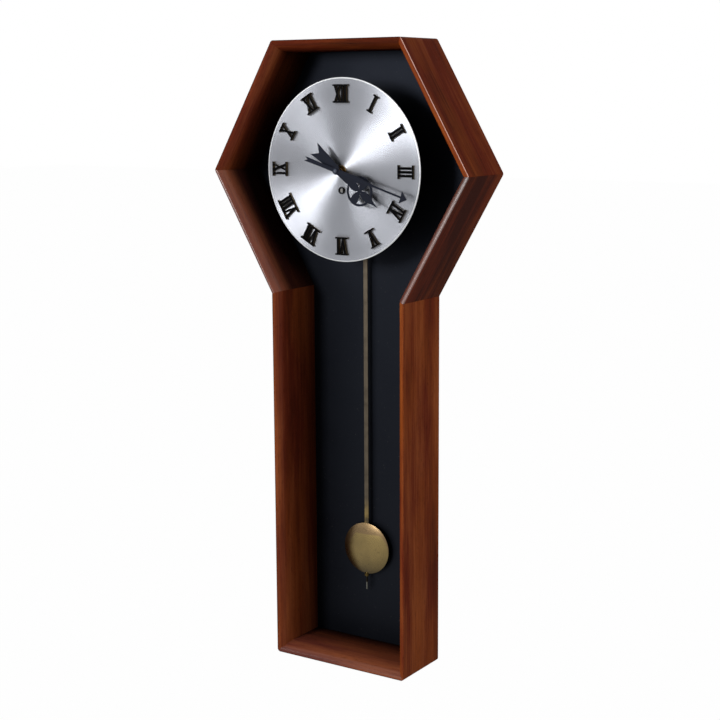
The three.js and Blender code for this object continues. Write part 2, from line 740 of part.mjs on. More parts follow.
function dialPlate() {
  const disc = turnedRing(
    [
      [DIAL_BORE, dialFront - DIAL_BUSH_HEIGHT],
      [DIAL_BUSH, dialFront - DIAL_BUSH_HEIGHT],
      [DIAL_BUSH, dialFront],
      [DIAL_RADIUS - DIAL_BEVEL, dialFront],
      [DIAL_RADIUS, dialFront + DIAL / 2],
      [DIAL_RADIUS, dialBack],
      [DIAL_BORE, dialBack],
    ],
    FINE,
  );
  const eyeletHole = rod(eyeletOuter + SEAT, dialFront - 1, dialBack + 1, ROUND);
  return cut(disc, eyeletHole.translate(winding[0], 0, winding[1]));
}

function windingEyelet() {
  const flangeFront = dialFront - SEAT - EYELET_HEIGHT;
  return turnedRing(
    [
      [EYELET_BORE, flangeFront],
      [EYELET_BORE + EYELET_FLANGE, flangeFront],
      [EYELET_BORE + EYELET_FLANGE, dialFront - SEAT],
      [eyeletOuter, dialFront - SEAT],
      [eyeletOuter, dialBack + SEAT],
      [EYELET_BORE, dialBack + SEAT],
    ],
    16,
  );
}

// One straight stroke between two levels, as [x at the bottom, x at the top] and a width.
function stroke([xBottom, xTop], width) {
  const reach = NUMERAL_HEIGHT / 2 - NUMERAL_BAR / 2;
  return sheet(
    polygon([
      [xBottom - width / 2, -reach],
      [xBottom + width / 2, -reach],
      [xTop + width / 2, reach],
      [xTop - width / 2, reach],
    ]),
    dialFront - SEAT - NUMERAL,
    NUMERAL,
  );
}

// A numeral, upright and centred. A bar across each end joins its strokes.
function numeral(letters) {
  const pitches = [...letters].map((letter) => (letter === "I" ? STEM_PITCH : WIDE_PITCH));
  const width = pitches.reduce((sum, pitch) => sum + pitch);
  const arm = (WIDE_PITCH - STEM) / 2;
  const strokes = [];
  let left = -width / 2;
  [...letters].forEach((letter, index) => {
    const middle = left + pitches[index] / 2;
    if (letter === "I") strokes.push(stroke([middle, middle], STEM));
    if (letter === "V") {
      strokes.push(stroke([middle, middle - arm], STEM), stroke([middle, middle + arm], HAIRLINE));
    }
    if (letter === "X") {
      strokes.push(stroke([middle + arm, middle - arm], STEM));
      strokes.push(stroke([middle - arm, middle + arm], HAIRLINE));
    }
    left += pitches[index];
  });
  const front = dialFront - SEAT - NUMERAL;
  const [end, edge] = [width / 2 + BAR_OVERHANG, NUMERAL_HEIGHT / 2];
  return join(
    ...strokes,
    sheet(rectangle(-end, edge - NUMERAL_BAR, end, edge), front, NUMERAL),
    sheet(rectangle(-end, -edge, end, NUMERAL_BAR - edge), front, NUMERAL),
  );
}

movement.add(piece("dial_plate", dialPlate(), aluminium));
movement.add(piece("winding_eyelet", windingEyelet(), blackMetal, winding));
const hours = ["I", "II", "III", "IV", "V", "VI", "VII", "VIII", "IX", "X", "XI", "XII"];
hours.forEach((letters, index) => {
  const angle = THREE.MathUtils.degToRad(30 * (index + 1) + (NUMERAL_SLIPS[letters] ?? 0));
  const place = [NUMERAL_RING * Math.sin(angle), NUMERAL_RING * Math.cos(angle)];
  const mesh = piece(`numeral_${letters}`, numeral(letters), blackMetal, place);
  mesh.rotation.y = angle;
  movement.add(mesh);
});

// ---------------------------------------------------------------------------------------
// Hands, cut from sheet and pointing at twelve until they are turned

const cannonBore = CENTRE_TIP + RUNNING;
const cannonOuter = cannonBore + PIPE_WALL;
const hourBore = cannonOuter + RUNNING;
const hourOuter = hourBore + PIPE_WALL;

function minuteHand() {
  const arrowBase = MINUTE_REACH - ARROW_LENGTH;
  const half = [
    [ARROW_HALF_WIDTH, arrowBase - ARROW_SWEEP],
    [NEEDLE, arrowBase],
    [NEEDLE, LEAF_END],
    [0.65 * LEAF, (LEAF_END + LEAF_WIDEST) / 2],
    [LEAF, LEAF_WIDEST],
    [0.8 * LEAF, LEAF_WIDEST / 2],
    [HUB / 2, 0],
    [MINUTE_TAIL_WAIST, -MINUTE_TAIL / 2],
    [MINUTE_TAIL_HALF_WIDTH, -MINUTE_TAIL],
  ];
  const otherHalf = half.map(([x, z]) => [-x, z]).reverse();
  const notch = [0, MINUTE_TAIL_NOTCH - MINUTE_TAIL];
  const outline = polygon([[0, MINUTE_REACH], ...half, notch, ...otherHalf]);
  const blade = sheet(outline, minuteHandBack - HAND, HAND);
  const hub = sheet(circle(HUB, centre, THREE.Shape), minuteHandBack - HAND, HAND, ROUND);
  const bore = rod(cannonOuter + SEAT, minuteHandBack - HAND - 1, minuteHandBack + 1, ROUND);
  return cut(join(blade, hub), bore);
}

// One of the four voids of the roundel, widening from near its middle out to the band.
function roundelVoid(quarter) {
  const inner = ROUNDEL - ROUNDEL_BAND;
  const spread = Math.asin(0.45);
  const corner = [inner * Math.cos(spread), inner * Math.sin(spread)];
  const turn = ([along, across]) => {
    const angle = Math.PI / 4 + (quarter * Math.PI) / 2;
    return [
      along * Math.cos(angle) - across * Math.sin(angle),
      ROUNDEL_DISTANCE + along * Math.sin(angle) + across * Math.cos(angle),
    ];
  };
  const path = new THREE.Path();
  path.moveTo(...turn([0.17 * inner, -0.025 * inner]));
  path.bezierCurveTo(
    ...turn([0.5 * inner, -0.05 * inner]),
    ...turn([0.69 * inner, -0.17 * inner]),
    ...turn([corner[0], -corner[1]]),
  );
  const middle = Math.PI / 4 + (quarter * Math.PI) / 2;
  path.absarc(0, ROUNDEL_DISTANCE, inner, middle - spread, middle + spread);
  path.bezierCurveTo(
    ...turn([0.69 * inner, 0.17 * inner]),
    ...turn([0.5 * inner, 0.05 * inner]),
    ...turn([0.17 * inner, 0.025 * inner]),
  );
  return path;
}

function hourHand() {
  const front = hourHandBack - HAND;
  const roundel = circle(ROUNDEL, [0, ROUNDEL_DISTANCE], THREE.Shape);
  for (let quarter = 0; quarter < 4; quarter++) roundel.holes.push(roundelVoid(quarter));

  const spadeBase = ROUNDEL_DISTANCE + ROUNDEL - ROUNDEL_BAND / 2;
  const spade = new THREE.Shape();
  spade.moveTo(-SPADE_HALF_WIDTH, spadeBase);
  spade.lineTo(SPADE_HALF_WIDTH, spadeBase);
  const hollow = 0.25 * SPADE_HALF_WIDTH;
  const halfway = (spadeBase + HOUR_REACH) / 2;
  spade.quadraticCurveTo(hollow, halfway, 0, HOUR_REACH);
  spade.quadraticCurveTo(-hollow, halfway, -SPADE_HALF_WIDTH, spadeBase);

  const neckEnd = ROUNDEL_DISTANCE - ROUNDEL + ROUNDEL_BAND / 2;
  const neck = rectangle(-NECK_HALF_WIDTH, 0, NECK_HALF_WIDTH, neckEnd);
  const [tipAcross, tipDown] = polar(HOUR_TAIL, TAIL_SPREAD - 90);
  const tail = polygon([
    [-NECK_HALF_WIDTH, 1],
    [-tipAcross, tipDown],
    [0, -TAIL_NOTCH],
    [tipAcross, tipDown],
    [NECK_HALF_WIDTH, 1],
  ]);
  const bore = rod(hourOuter + SEAT, front - 1, hourHandBack + 1, ROUND);
  return cut(
    join(
      sheet(roundel, front, HAND, 12),
      sheet(spade, front, HAND, 5),
      sheet(neck, front, HAND),
      sheet(tail, front, HAND),
      sheet(circle(HUB, centre, THREE.Shape), front, HAND, ROUND),
    ),
    bore,
  );
}

const nutBack = minuteHandBack - HAND - SEAT;

function handNut() {
  const outline = polygon([0, 60, 120, 180, 240, 300].map((angle) => polar(HAND_NUT_RADIUS, angle)));
  outline.holes.push(circle(CENTRE_TIP + SEAT));
  return sheet(outline, nutBack - HAND_NUT, HAND_NUT);
}

const minuteHandMesh = piece("minute_hand", minuteHand(), blackMetal);
minuteHandMesh.rotation.y = THREE.MathUtils.degToRad(MINUTE_ANGLE);
const hourHandMesh = piece("hour_hand", hourHand(), blackMetal);
hourHandMesh.rotation.y = THREE.MathUtils.degToRad(HOUR_ANGLE);
movement.add(minuteHandMesh, hourHandMesh, piece("hand_nut", handNut(), steel));

// ---------------------------------------------------------------------------------------
// Wheels and pinions

// A toothed outline: each tooth is a list of [angle in half-widths, height] round the pitch circle.
function toothed(count, radius, tooth, phase) {
  const step = (2 * Math.PI) / count;
  const points = [];
  for (let i = 0; i < count; i++) {
    for (const [across, height] of tooth) {
      const angle = phase + i * step + across / radius;
      const reach = radius + height;
      points.push([reach * Math.cos(angle), reach * Math.sin(angle)]);
    }
  }
  return polygon(points);
}

function wheelOutline(count, module, phase) {
  const base = WHEEL_TOOTH.base * module;
  const tip = WHEEL_TOOTH.tip * module;
  const top = WHEEL_TOOTH.addendum * module;
  const root = -WHEEL_TOOTH.dedendum * module;
  const tooth = [
    [-base, root],
    [-tip, top],
    [tip, top],
    [base, root],
  ];
  return toothed(count, pitchRadius(count, module), tooth, phase);
}

function pinion(count, module, phase, front, length) {
  const half = LEAF_TOOTH.half * module;
  const top = LEAF_TOOTH.addendum * module;
  const root = -LEAF_TOOTH.dedendum * module;
  const tooth = [
    [-half, root],
    [-half, 0],
    [0, top],
    [half, 0],
    [half, root],
  ];
  return sheet(toothed(count, pitchRadius(count, module), tooth, phase), front, length);
}

// Windows between the spokes of a wheel, from its boss out to its rim.
function crossings(innerRadius, outerRadius) {
  const windows = [];
  for (let i = 0; i < SPOKES; i++) {
    const from = (i * 2 * Math.PI) / SPOKES;
    const to = from + (2 * Math.PI) / SPOKES;
    const [outerTrim, innerTrim] = [SPOKE / 2 / outerRadius, SPOKE / 2 / innerRadius];
    const window = new THREE.Path();
    window.absarc(0, 0, outerRadius, from + outerTrim, to - outerTrim);
    window.absarc(0, 0, innerRadius, to - innerTrim, from + innerTrim, true);
    windows.push(window);
  }
  return windows;
}

function wheel(outline, rootRadius, front, thickness) {
  outline.holes.push(...crossings(COLLET, rootRadius - RIM));
  return sheet(outline, front, thickness, 5);
}

// Arbor with a pivot in each plate.
function arbor() {
  return turned([
    [0, frontPlateFront],
    [PIVOT, frontPlateFront],
    [PIVOT, frontPlateRear + RUNNING],
    [ARBOR, frontPlateRear + RUNNING],
    [ARBOR, backPlateFront - RUNNING],
    [PIVOT, backPlateFront - RUNNING],
    [PIVOT, backPlateRear],
    [0, backPlateRear],
  ]);
}

const rootRadius = (count, module) => pitchRadius(count, module) - WHEEL_TOOTH.dedendum * module;

// A pinion's gap faces the wheel that drives it, half a pitch away from its leaf.
const gapToward = (from, to, count) => direction(from, to) + Math.PI / count;

function intermediateWheel() {
  const { teeth, module } = INTERMEDIATE;
  const outline = wheelOutline(teeth, module, direction(intermediate, centre));
  const phase = gapToward(intermediate, winding, GREAT.leaves);
  const pinionFront = greatDepth + GREAT_WHEEL / 2 - PINION / 2;
  return join(
    arbor(),
    pinion(GREAT.leaves, GREAT.module, phase, pinionFront, PINION),
    wheel(outline, rootRadius(teeth, module), intermediateDepth, WHEEL),
  );
}

function centreWheel() {
  const { teeth, module } = CENTRE;
  const outline = wheelOutline(teeth, module, direction(centre, third));
  const phase = gapToward(centre, intermediate, INTERMEDIATE.leaves);
  const pinionFront = intermediateDepth + WHEEL / 2 - PINION / 2;
  const shaft = turned([
    [0, nutBack - HAND_NUT - SEAT],
    [CENTRE_TIP, nutBack - HAND_NUT - SEAT],
    [CENTRE_TIP, frontPlateRear + RUNNING],
    [ARBOR, frontPlateRear + RUNNING],
    [ARBOR, backPlateFront - RUNNING],
    [PIVOT, backPlateFront - RUNNING],
    [PIVOT, backPlateRear],
    [0, backPlateRear],
  ]);
  return join(
    shaft,
    pinion(INTERMEDIATE.leaves, INTERMEDIATE.module, phase, pinionFront, PINION),
    wheel(outline, rootRadius(teeth, module), centreDepth, WHEEL),
  );
}

function thirdWheel() {
  const { teeth, module } = THIRD;
  const outline = wheelOutline(teeth, module, direction(third, escapeArbor));
  const phase = gapToward(third, centre, CENTRE.leaves);
  const pinionFront = centreDepth + WHEEL / 2 - PINION / 2;
  return join(
    arbor(),
    pinion(CENTRE.leaves, CENTRE.module, phase, pinionFront, PINION),
    wheel(outline, rootRadius(teeth, module), thirdDepth, WHEEL),
  );
}

// Escape wheel: slender teeth that lean forward.
function escapeWheel() {
  const pitch = (2 * Math.PI * ESCAPE_RADIUS) / ESCAPE_TEETH;
  const tooth = [
    [-0.3 * pitch, -ESCAPE_TOOTH],
    [0.16 * pitch, 0],
    [0.24 * pitch, 0],
    [0.2 * pitch, -ESCAPE_TOOTH],
  ];
  const outline = toothed(ESCAPE_TEETH, ESCAPE_RADIUS, tooth, Math.PI / 2);
  const phase = gapToward(escapeArbor, third, THIRD.leaves);
  const pinionFront = thirdDepth + WHEEL / 2 - PINION / 2;
  return join(
    arbor(),
    pinion(THIRD.leaves, THIRD.module, phase, pinionFront, PINION),
    wheel(outline, ESCAPE_RADIUS - ESCAPE_TOOTH, escapeDepth, WHEEL),
  );
}

// Motion work: the cannon pinion carries the minute hand, the hour wheel the hour hand.
function cannonPinion() {
  const phase = gapToward(centre, minuteStud, MINUTE.leaves);
  const leaves = pinion(MINUTE.leaves, MINUTE.module, phase, cannonFront, CANNON_PINION);
  const pipe = rod(cannonOuter, minuteHandBack - HAND, frontPlateFront - RUNNING, ROUND);
  const bore = rod(cannonBore, minuteHandBack - HAND - 1, frontPlateFront + 1, ROUND);
  return cut(join(leaves, pipe), bore);
}

function minuteWheel() {
  const outline = wheelOutline(MINUTE.teeth, MINUTE.module, direction(minuteStud, centre));
  const phase = gapToward(minuteStud, centre, HOUR.leaves);
  const disc = sheet(outline, minuteWheelFront, WHEEL);
  const pinionFront = minuteWheelFront - MINUTE_PINION;
  const leaves = pinion(HOUR.leaves, hourModule, phase, pinionFront, MINUTE_PINION);
  const bore = rod(STUD + RUNNING, pinionFront - 1, frontPlateFront);
  return cut(join(disc, leaves), bore);
}

function hourWheel() {
  const outline = wheelOutline(HOUR.teeth, hourModule, direction(centre, minuteStud));
  const pipe = rod(hourOuter, hourHandBack - HAND, hourWheelFront + WHEEL, ROUND);
  const bore = rod(hourBore, hourHandBack - HAND - 1, frontPlateFront, ROUND);
  return cut(join(sheet(outline, hourWheelFront, WHEEL), pipe), bore);
}

movement.add(
  piece("intermediate_wheel", intermediateWheel(), brass, intermediate),
  piece("centre_wheel", centreWheel(), brass, centre),
  piece("third_wheel", thirdWheel(), brass, third),
  piece("escape_wheel", escapeWheel(), brass, escapeArbor),
  piece("cannon_pinion", cannonPinion(), brass),
  piece("minute_wheel", minuteWheel(), brass, minuteStud),
  piece("hour_wheel", hourWheel(), brass),
);

// ---------------------------------------------------------------------------------------
// Mainspring barrel, winding arbor, ratchet and click

const arborHole = WINDING_ARBOR + RUNNING;
const drumInner = DRUM_RADIUS - DRUM_WALL;

function mainspringBarrel() {
  const outline = wheelOutline(GREAT.teeth, GREAT.module, direction(winding, intermediate));
  outline.holes.push(circle(arborHole));
  const drumFront = greatDepth + GREAT_WHEEL / 2;
  const drum = turnedRing(
    [
      [drumInner, drumFront],
      [DRUM_RADIUS, drumFront],
      [DRUM_RADIUS, drumBack],
      [drumInner, drumBack],
    ],
    ROUND,
  );
  return join(sheet(outline, greatDepth, GREAT_WHEEL, ROUND), drum);
}

function barrelCap() {
  const [inner, outer] = [arborHole, drumInner - SEAT];
  return turnedRing(
    [
      [inner, drumBack - DRUM_WALL],
      [outer, drumBack - DRUM_WALL],
      [outer, drumBack],
      [inner, drumBack],
    ],
    ROUND,
  );
}

// The mainspring is a strip coiled outward from the arbor to the wall of the drum.
function mainspring() {
  const [start, end] = [arborHole, drumInner - SEAT - SPRING_STRIP];
  const steps = SPRING_TURNS * 14;
  const coil = (extra) =>
    Array.from({ length: steps + 1 }, (_, i) => {
      const radius = start + ((end - start) * i) / steps + extra;
      return polar(radius, (i * 360 * SPRING_TURNS) / steps);
    });
  const front = greatDepth + GREAT_WHEEL + SEAT;
  const height = drumBack - DRUM_WALL - SEAT - front;
  return sheet(polygon([...coil(0), ...coil(SPRING_STRIP).reverse()]), front, height);
}

function windingArbor() {
  const squareFront = dialFront - SQUARE_STANDOUT;
  const half = WINDING_SQUARE / 2;
  const shaft = turned([
    [0, ratchetFront - RUNNING],
    [windingPivot, ratchetFront - RUNNING],
    [windingPivot, frontPlateRear + RUNNING],
    [WINDING_ARBOR, frontPlateRear + RUNNING],
    [WINDING_ARBOR, backPlateFront - RUNNING],
    [windingPivot, backPlateFront - RUNNING],
    [windingPivot, backPlateRear],
    [0, backPlateRear],
  ]);
  return join(shaft, block([-half, squareFront, -half], [half, frontPlateFront, half]), ratchet());
}

// Each tooth rises gently and drops back along a radius, where the click holds it.
function ratchet() {
  const points = [];
  for (let i = 0; i < RATCHET_TEETH; i++) {
    const angle = ratchetPhase + (i * 360) / RATCHET_TEETH;
    points.push(polar(RATCHET_RADIUS, angle), polar(RATCHET_RADIUS - RATCHET_DEPTH, angle));
  }
  return sheet(polygon(points), ratchetFront, RATCHET);
}

const ratchetPhase = CLICK_DIRECTION - CLICK_REACH;

// The click's nose stands in a tooth space and braces it against its own screw.
function click() {
  const arborPlace = polar(-CLICK_DISTANCE, CLICK_DIRECTION);
  const fromArbor = (radius, angle) => offset(polar(radius, ratchetPhase + angle), arborPlace);
  const heel = STUD + CLICK_EYE;
  const outline = polygon([
    fromArbor(RATCHET_RADIUS - 0.5 * RATCHET_DEPTH, 3),
    fromArbor(RATCHET_RADIUS + CLICK_NOSE, 3),
    polar(heel, CLICK_DIRECTION - 20),
    polar(heel, CLICK_DIRECTION - 160),
    fromArbor(RATCHET_RADIUS + RUNNING, 0.3 * CLICK_REACH),
  ]);
  const boss = sheet(circle(heel, centre, THREE.Shape), ratchetFront, RATCHET, SMALL);
  const bore = rod(STUD + RUNNING, ratchetFront - 1, frontPlateRear);
  return cut(join(sheet(outline, ratchetFront, RATCHET), boss), bore);
}

movement.add(
  piece("mainspring_barrel", mainspringBarrel(), brass, winding),
  piece("barrel_cap", barrelCap(), brass, winding),
  piece("mainspring", mainspring(), blueSteel, winding),
  piece("winding_arbor", windingArbor(), steel, winding),
  piece("click", click(), steel, clickScrew),
);

// ---------------------------------------------------------------------------------------
// Escapement: the anchor straddles the escape wheel, and the crutch drives the pendulum rod

// The anchor is a crescent round the escape wheel with a pallet at each end. The pallets
// stay clear of the teeth over the whole swing.
function anchor() {
  const palletArm = ESCAPE_RADIUS * Math.tan(escapeSpan);
  const swing = THREE.MathUtils.degToRad(SWING);
  const tip = ESCAPE_RADIUS + palletArm * Math.sin(swing) + RUNNING;
  const inner = tip + PALLET;
  const outer = inner + ANCHOR_ARM;
  const [end, nib] = [escapeSpan + 0.06, 0.14];
  const drop = escapeArbor[1] - suspension[1];
  const up = Math.PI / 2;
  const at = (radius, angle) => [radius * Math.cos(up + angle), drop + radius * Math.sin(up + angle)];
  const crescent = new THREE.Shape();
  crescent.moveTo(...at(tip, end));
  crescent.lineTo(...at(outer, end));
  crescent.absarc(0, drop, outer, up + end, up - end, true);
  crescent.lineTo(...at(tip, -end));
  crescent.lineTo(...at(inner, nib - end));
  crescent.absarc(0, drop, inner, up - end + nib, up + end - nib);
  crescent.closePath();
  const front = escapeDepth + WHEEL / 2 - PALLET_STEEL / 2;
  const shaft = turned([
    [0, frontPlateFront],
    [PIVOT, frontPlateFront],
    [PIVOT, frontPlateRear + RUNNING],
    [ARBOR, frontPlateRear + RUNNING],
    [ARBOR, crutchBack],
    [0, crutchBack],
  ]);
  return join(
    sheet(crescent, front, PALLET_STEEL, 8),
    sheet(circle(ANCHOR_BOSS, centre, THREE.Shape), front, PALLET_STEEL, ROUND),
    shaft,
  );
}

const crutchFront = backPlateRear + RUNNING;
const crutchBack = crutchFront + CRUTCH_BOSS;

function crutch() {
  const collet = rod(crutchCollet, crutchFront, crutchBack, ROUND);
  const prongX = ROD_WIDTH / 2 + RUNNING + PRONG;
  const armFront = crutchBack - CRUTCH;
  const arm = block([-CRUTCH_WIDTH / 2, armFront, -CRUTCH_LENGTH], [CRUTCH_WIDTH / 2, crutchBack, 0]);
  const bar = block(
    [-prongX - PRONG, armFront, -CRUTCH_LENGTH - PRONG],
    [prongX + PRONG, crutchBack, -CRUTCH_LENGTH + 3 * PRONG],
  );
  const prong = rod(PRONG, armFront, rodDepth + ROD / 2 + PRONG_END).translate(0, 0, -CRUTCH_LENGTH);
  const bore = rod(ARBOR + SEAT, crutchFront - 1, crutchBack + 1);
  return cut(
    join(collet, arm, bar, prong.clone().translate(-prongX, 0, 0), prong.translate(prongX, 0, 0)),
    bore,
  );
}

movement.add(
  piece("anchor", anchor(), steel, suspension),
  piece("crutch", crutch(), brass, suspension),
);

// ---------------------------------------------------------------------------------------
// Suspension and pendulum, placed from the line that the pendulum swings about

const forkInner = CHOP / 2 + RUNNING;
const forkOuter = forkInner + CHEEK;
const pinHalf = forkOuter - 0.2;
const chopHalfDepth = CHOP_DEPTH / 2;

// A pin that lies across the fork, at one level.
function crossPin(radius, half, level) {
  return new THREE.CylinderGeometry(radius, radius, 2 * half, SMALL)
    .rotateZ(Math.PI / 2)
    .translate(0, rodDepth, level);
}

// Cock: a bracket on the back plate, slotted from behind to take the top of the suspension.
function suspensionCock() {
  const front = backPlateRear + SEAT;
  const back = rodDepth + chopHalfDepth + 1;
  const top = cockBottom + COCK_HEIGHT;
  const foot = block([-COCK_FOOT / 2, front, cockBottom], [COCK_FOOT / 2, front + COCK_FOOT_STEEL, top]);
  const arm = block([-forkOuter, front + 1, cockBottom], [forkOuter, back, top]);
  const pins = cockPins.map((x) => rod(PIVOT, backPlateFront, front + 1).translate(x, 0, cockPinLevel));
  const slotFront = rodDepth - chopHalfDepth - SEAT;
  const slot = block([-forkInner, slotFront, cockBottom - 1], [forkInner, back + 1, top + 1]);
  return cut(join(foot, arm, ...pins), slot, crossPin(PIN + SEAT, forkOuter + 1, topPinLevel));
}

// Brass block on an end of the spring, with its pin.
function chop(bottom, pinLevel) {
  const body = block(
    [-CHOP / 2, rodDepth - chopHalfDepth, bottom],
    [CHOP / 2, rodDepth + chopHalfDepth, bottom + CHOP_HEIGHT],
  );
  return join(body, crossPin(PIN, pinHalf, pinLevel));
}

// The spring bends just under the top chop, so it turns about its own upper end.
function suspensionSpring() {
  const half = chopHalfDepth - 1;
  const strip = block(
    [-SUSPENSION_STRIP / 2, rodDepth - half, -STRIP_LENGTH - 1],
    [SUSPENSION_STRIP / 2, rodDepth + half, 0],
  );
  return join(strip, chop(-STRIP_LENGTH - CHOP_HEIGHT, lowerPinLevel));
}

// Rod: a forked head over the lower pin, a flat bar, and a threaded end for the rating nut.
function pendulumRod() {
  const headTop = lowerPinLevel + PIN + 1.5;
  const slotBottom = -STRIP_LENGTH - CHOP_HEIGHT - SEAT;
  const headBottom = slotBottom - FORK_WEB;
  const half = chopHalfDepth - 1;
  const head = block([-forkOuter, rodDepth - half, headBottom], [forkOuter, rodDepth + half, headTop]);
  const slot = block(
    [-forkInner, rodDepth - half - 1, slotBottom],
    [forkInner, rodDepth + half + 1, headTop + 1],
  );
  const bar = block(
    [-ROD_WIDTH / 2, rodDepth - ROD / 2, barEnd],
    [ROD_WIDTH / 2, rodDepth + ROD / 2, headBottom + 1],
  );
  const tailTop = barEnd + 1;
  const tailBottom = -PENDULUM_LENGTH - BOB_RADIUS - TAIL_LENGTH;
  const tail = new THREE.CylinderGeometry(TAIL_RADIUS, TAIL_RADIUS, tailTop - tailBottom, ROUND)
    .rotateX(Math.PI / 2)
    .translate(0, rodDepth, (tailTop + tailBottom) / 2);
  return join(cut(head, slot, crossPin(PIN + SEAT, forkOuter + 1, lowerPinLevel)), bar, tail);
}

// Bob: a lens with a flat edge. A channel down its middle takes the rod.
function bob() {
  const bulge = (BOB - BOB_RIM) / 2;
  const steps = 5;
  const front = [];
  for (let i = 0; i <= steps; i++) {
    const radius = (BOB_RADIUS * i) / steps;
    front.push([radius, -BOB_RIM / 2 - bulge * (1 - (i / steps) ** 2)]);
  }
  const back = front.map(([radius, y]) => [radius, -y]).reverse();
  const lens = turned([...front, ...back], FINE);
  const wide = ROD_WIDTH / 2 + RUNNING;
  const thin = ROD / 2 + RUNNING;
  const round = TAIL_RADIUS + RUNNING;
  const barSlot = block([-wide, -thin, -BAR_END - RATING_TRAVEL - 1], [wide, thin, BOB_RADIUS + 1]);
  const tailSlotTop = RATING_TRAVEL + 2 - BAR_END;
  const tailSlot = block([-round, -round, -BOB_RADIUS - 1], [round, round, tailSlotTop]);
  return cut(lens, barSlot, tailSlot).translate(0, rodDepth, 0);
}

function ratingNut() {
  const radius = (angle) => (angle % 30 === 0 ? NUT_RADIUS : NUT_RADIUS - NUT_GROOVE);
  const outline = polygon(Array.from({ length: 24 }, (_, i) => polar(radius(i * 15), i * 15)));
  outline.holes.push(circle(TAIL_RADIUS + RUNNING));
  return new THREE.ExtrudeGeometry(outline, {
    depth: NUT,
    bevelEnabled: false,
    curveSegments: SMALL,
  }).translate(0, rodDepth, -BOB_RADIUS - SEAT - NUT);
}

const bobPlace = [0, SUSPENSION_RISE - PENDULUM_LENGTH];
movement.add(
  piece("suspension_cock", suspensionCock(), brass, suspension),
  piece("suspension_top", chop(RUNNING, topPinLevel), brass, suspension),
  piece("suspension_spring", suspensionSpring(), brass, suspension),
  piece("pendulum_rod", pendulumRod(), agedBrass, suspension),
  piece("bob", bob(), agedBrass, bobPlace),
  piece("rating_nut", ratingNut(), agedBrass, bobPlace),
);

export default clock;
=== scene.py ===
# Looks of the pendulum wall clock: finishes, fine shapes, small fixings, and the studio.
# Lengths are millimetres, as on a maker's drawing, and MM turns them to Blender's metres.
# The studio alone is laid out in metres.

import json
import math

import bmesh
import bpy
from mathutils import Matrix, Vector

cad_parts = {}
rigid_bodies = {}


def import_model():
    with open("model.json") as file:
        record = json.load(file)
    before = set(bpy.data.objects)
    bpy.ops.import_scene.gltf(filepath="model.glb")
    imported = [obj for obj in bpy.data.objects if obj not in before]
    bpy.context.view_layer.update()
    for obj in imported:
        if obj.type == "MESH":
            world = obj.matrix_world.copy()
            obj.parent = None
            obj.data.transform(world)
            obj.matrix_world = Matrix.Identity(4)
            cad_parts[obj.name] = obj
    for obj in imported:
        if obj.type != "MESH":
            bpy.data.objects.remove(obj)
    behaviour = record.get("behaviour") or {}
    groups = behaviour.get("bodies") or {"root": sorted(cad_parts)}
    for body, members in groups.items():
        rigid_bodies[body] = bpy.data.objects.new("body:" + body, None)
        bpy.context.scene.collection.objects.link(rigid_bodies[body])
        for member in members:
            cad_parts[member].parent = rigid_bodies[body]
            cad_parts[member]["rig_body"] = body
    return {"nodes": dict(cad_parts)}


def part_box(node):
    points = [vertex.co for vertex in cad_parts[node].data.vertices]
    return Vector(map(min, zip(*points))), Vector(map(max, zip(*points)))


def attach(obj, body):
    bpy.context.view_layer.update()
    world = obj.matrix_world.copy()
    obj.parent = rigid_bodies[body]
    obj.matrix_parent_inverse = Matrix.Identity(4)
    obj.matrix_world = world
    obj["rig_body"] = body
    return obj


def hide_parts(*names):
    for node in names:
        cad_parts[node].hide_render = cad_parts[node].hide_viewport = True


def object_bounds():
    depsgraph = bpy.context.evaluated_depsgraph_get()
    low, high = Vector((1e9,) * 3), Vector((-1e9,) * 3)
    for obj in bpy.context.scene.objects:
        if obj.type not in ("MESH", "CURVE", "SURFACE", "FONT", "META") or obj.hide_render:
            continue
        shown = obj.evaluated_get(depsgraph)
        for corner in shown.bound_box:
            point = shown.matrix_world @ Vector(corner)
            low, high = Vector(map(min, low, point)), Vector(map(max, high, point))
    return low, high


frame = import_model()
nodes = frame["nodes"]
cad_low, cad_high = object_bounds()


# ---------------------------------------------------------------------------------------
# Case boards
# Eight boards of solid walnut, stained red-brown and sprayed with satin lacquer. The inner
# front edge of each is rounded over on a spindle moulder, the back is rabbeted for the
# panel, and the ends are glued on their mitres.

MM = 0.001
TOP_WIDTH = 182
HEAD_WIDTH = 362
COLUMN_WIDTH = 190
HEAD_SLOPE = 60  # degrees, of the head's slanting boards
CASE_DEPTH = 83
BOARD = 13
ROUNDING_DEPTH = 24
ROUNDING_STEPS = 24
RABBET = 6
PANEL_FRONT = -11.3
SHADE_FROM = 0.6  # share of the rounding past which painted shade starts, as on the inner face
GLUE_LINE = 0.03
EASED_EDGE = 1.0  # on the long outer edges
MITRE_EDGE = 0.25  # share of it where the boards meet
EASED_ANGLE = 40  # degrees, past which an edge is eased
SHARP = 30  # degrees, past which two faces meet in an edge
BOARD_SHARP = 32
EDGE_LINE = (0.75, 0.45)  # where the painted line on the eased edge begins and where it is full
CORNER_ROUNDING = 4
CORNER_FACETS = 10
HAIR = 1e-6  # metres, within which points count as one place
WALNUT_DARK = (52, 20, 12)
WALNUT_RED = (98, 38, 21)
WALNUT_ORANGE = (122, 58, 26)
WALNUT_PALE = (150, 82, 44)
# A grey-pink painted sheen, laid over a whole board's colour.
WALNUT_SHEEN_PAINT = (126, 86, 80)
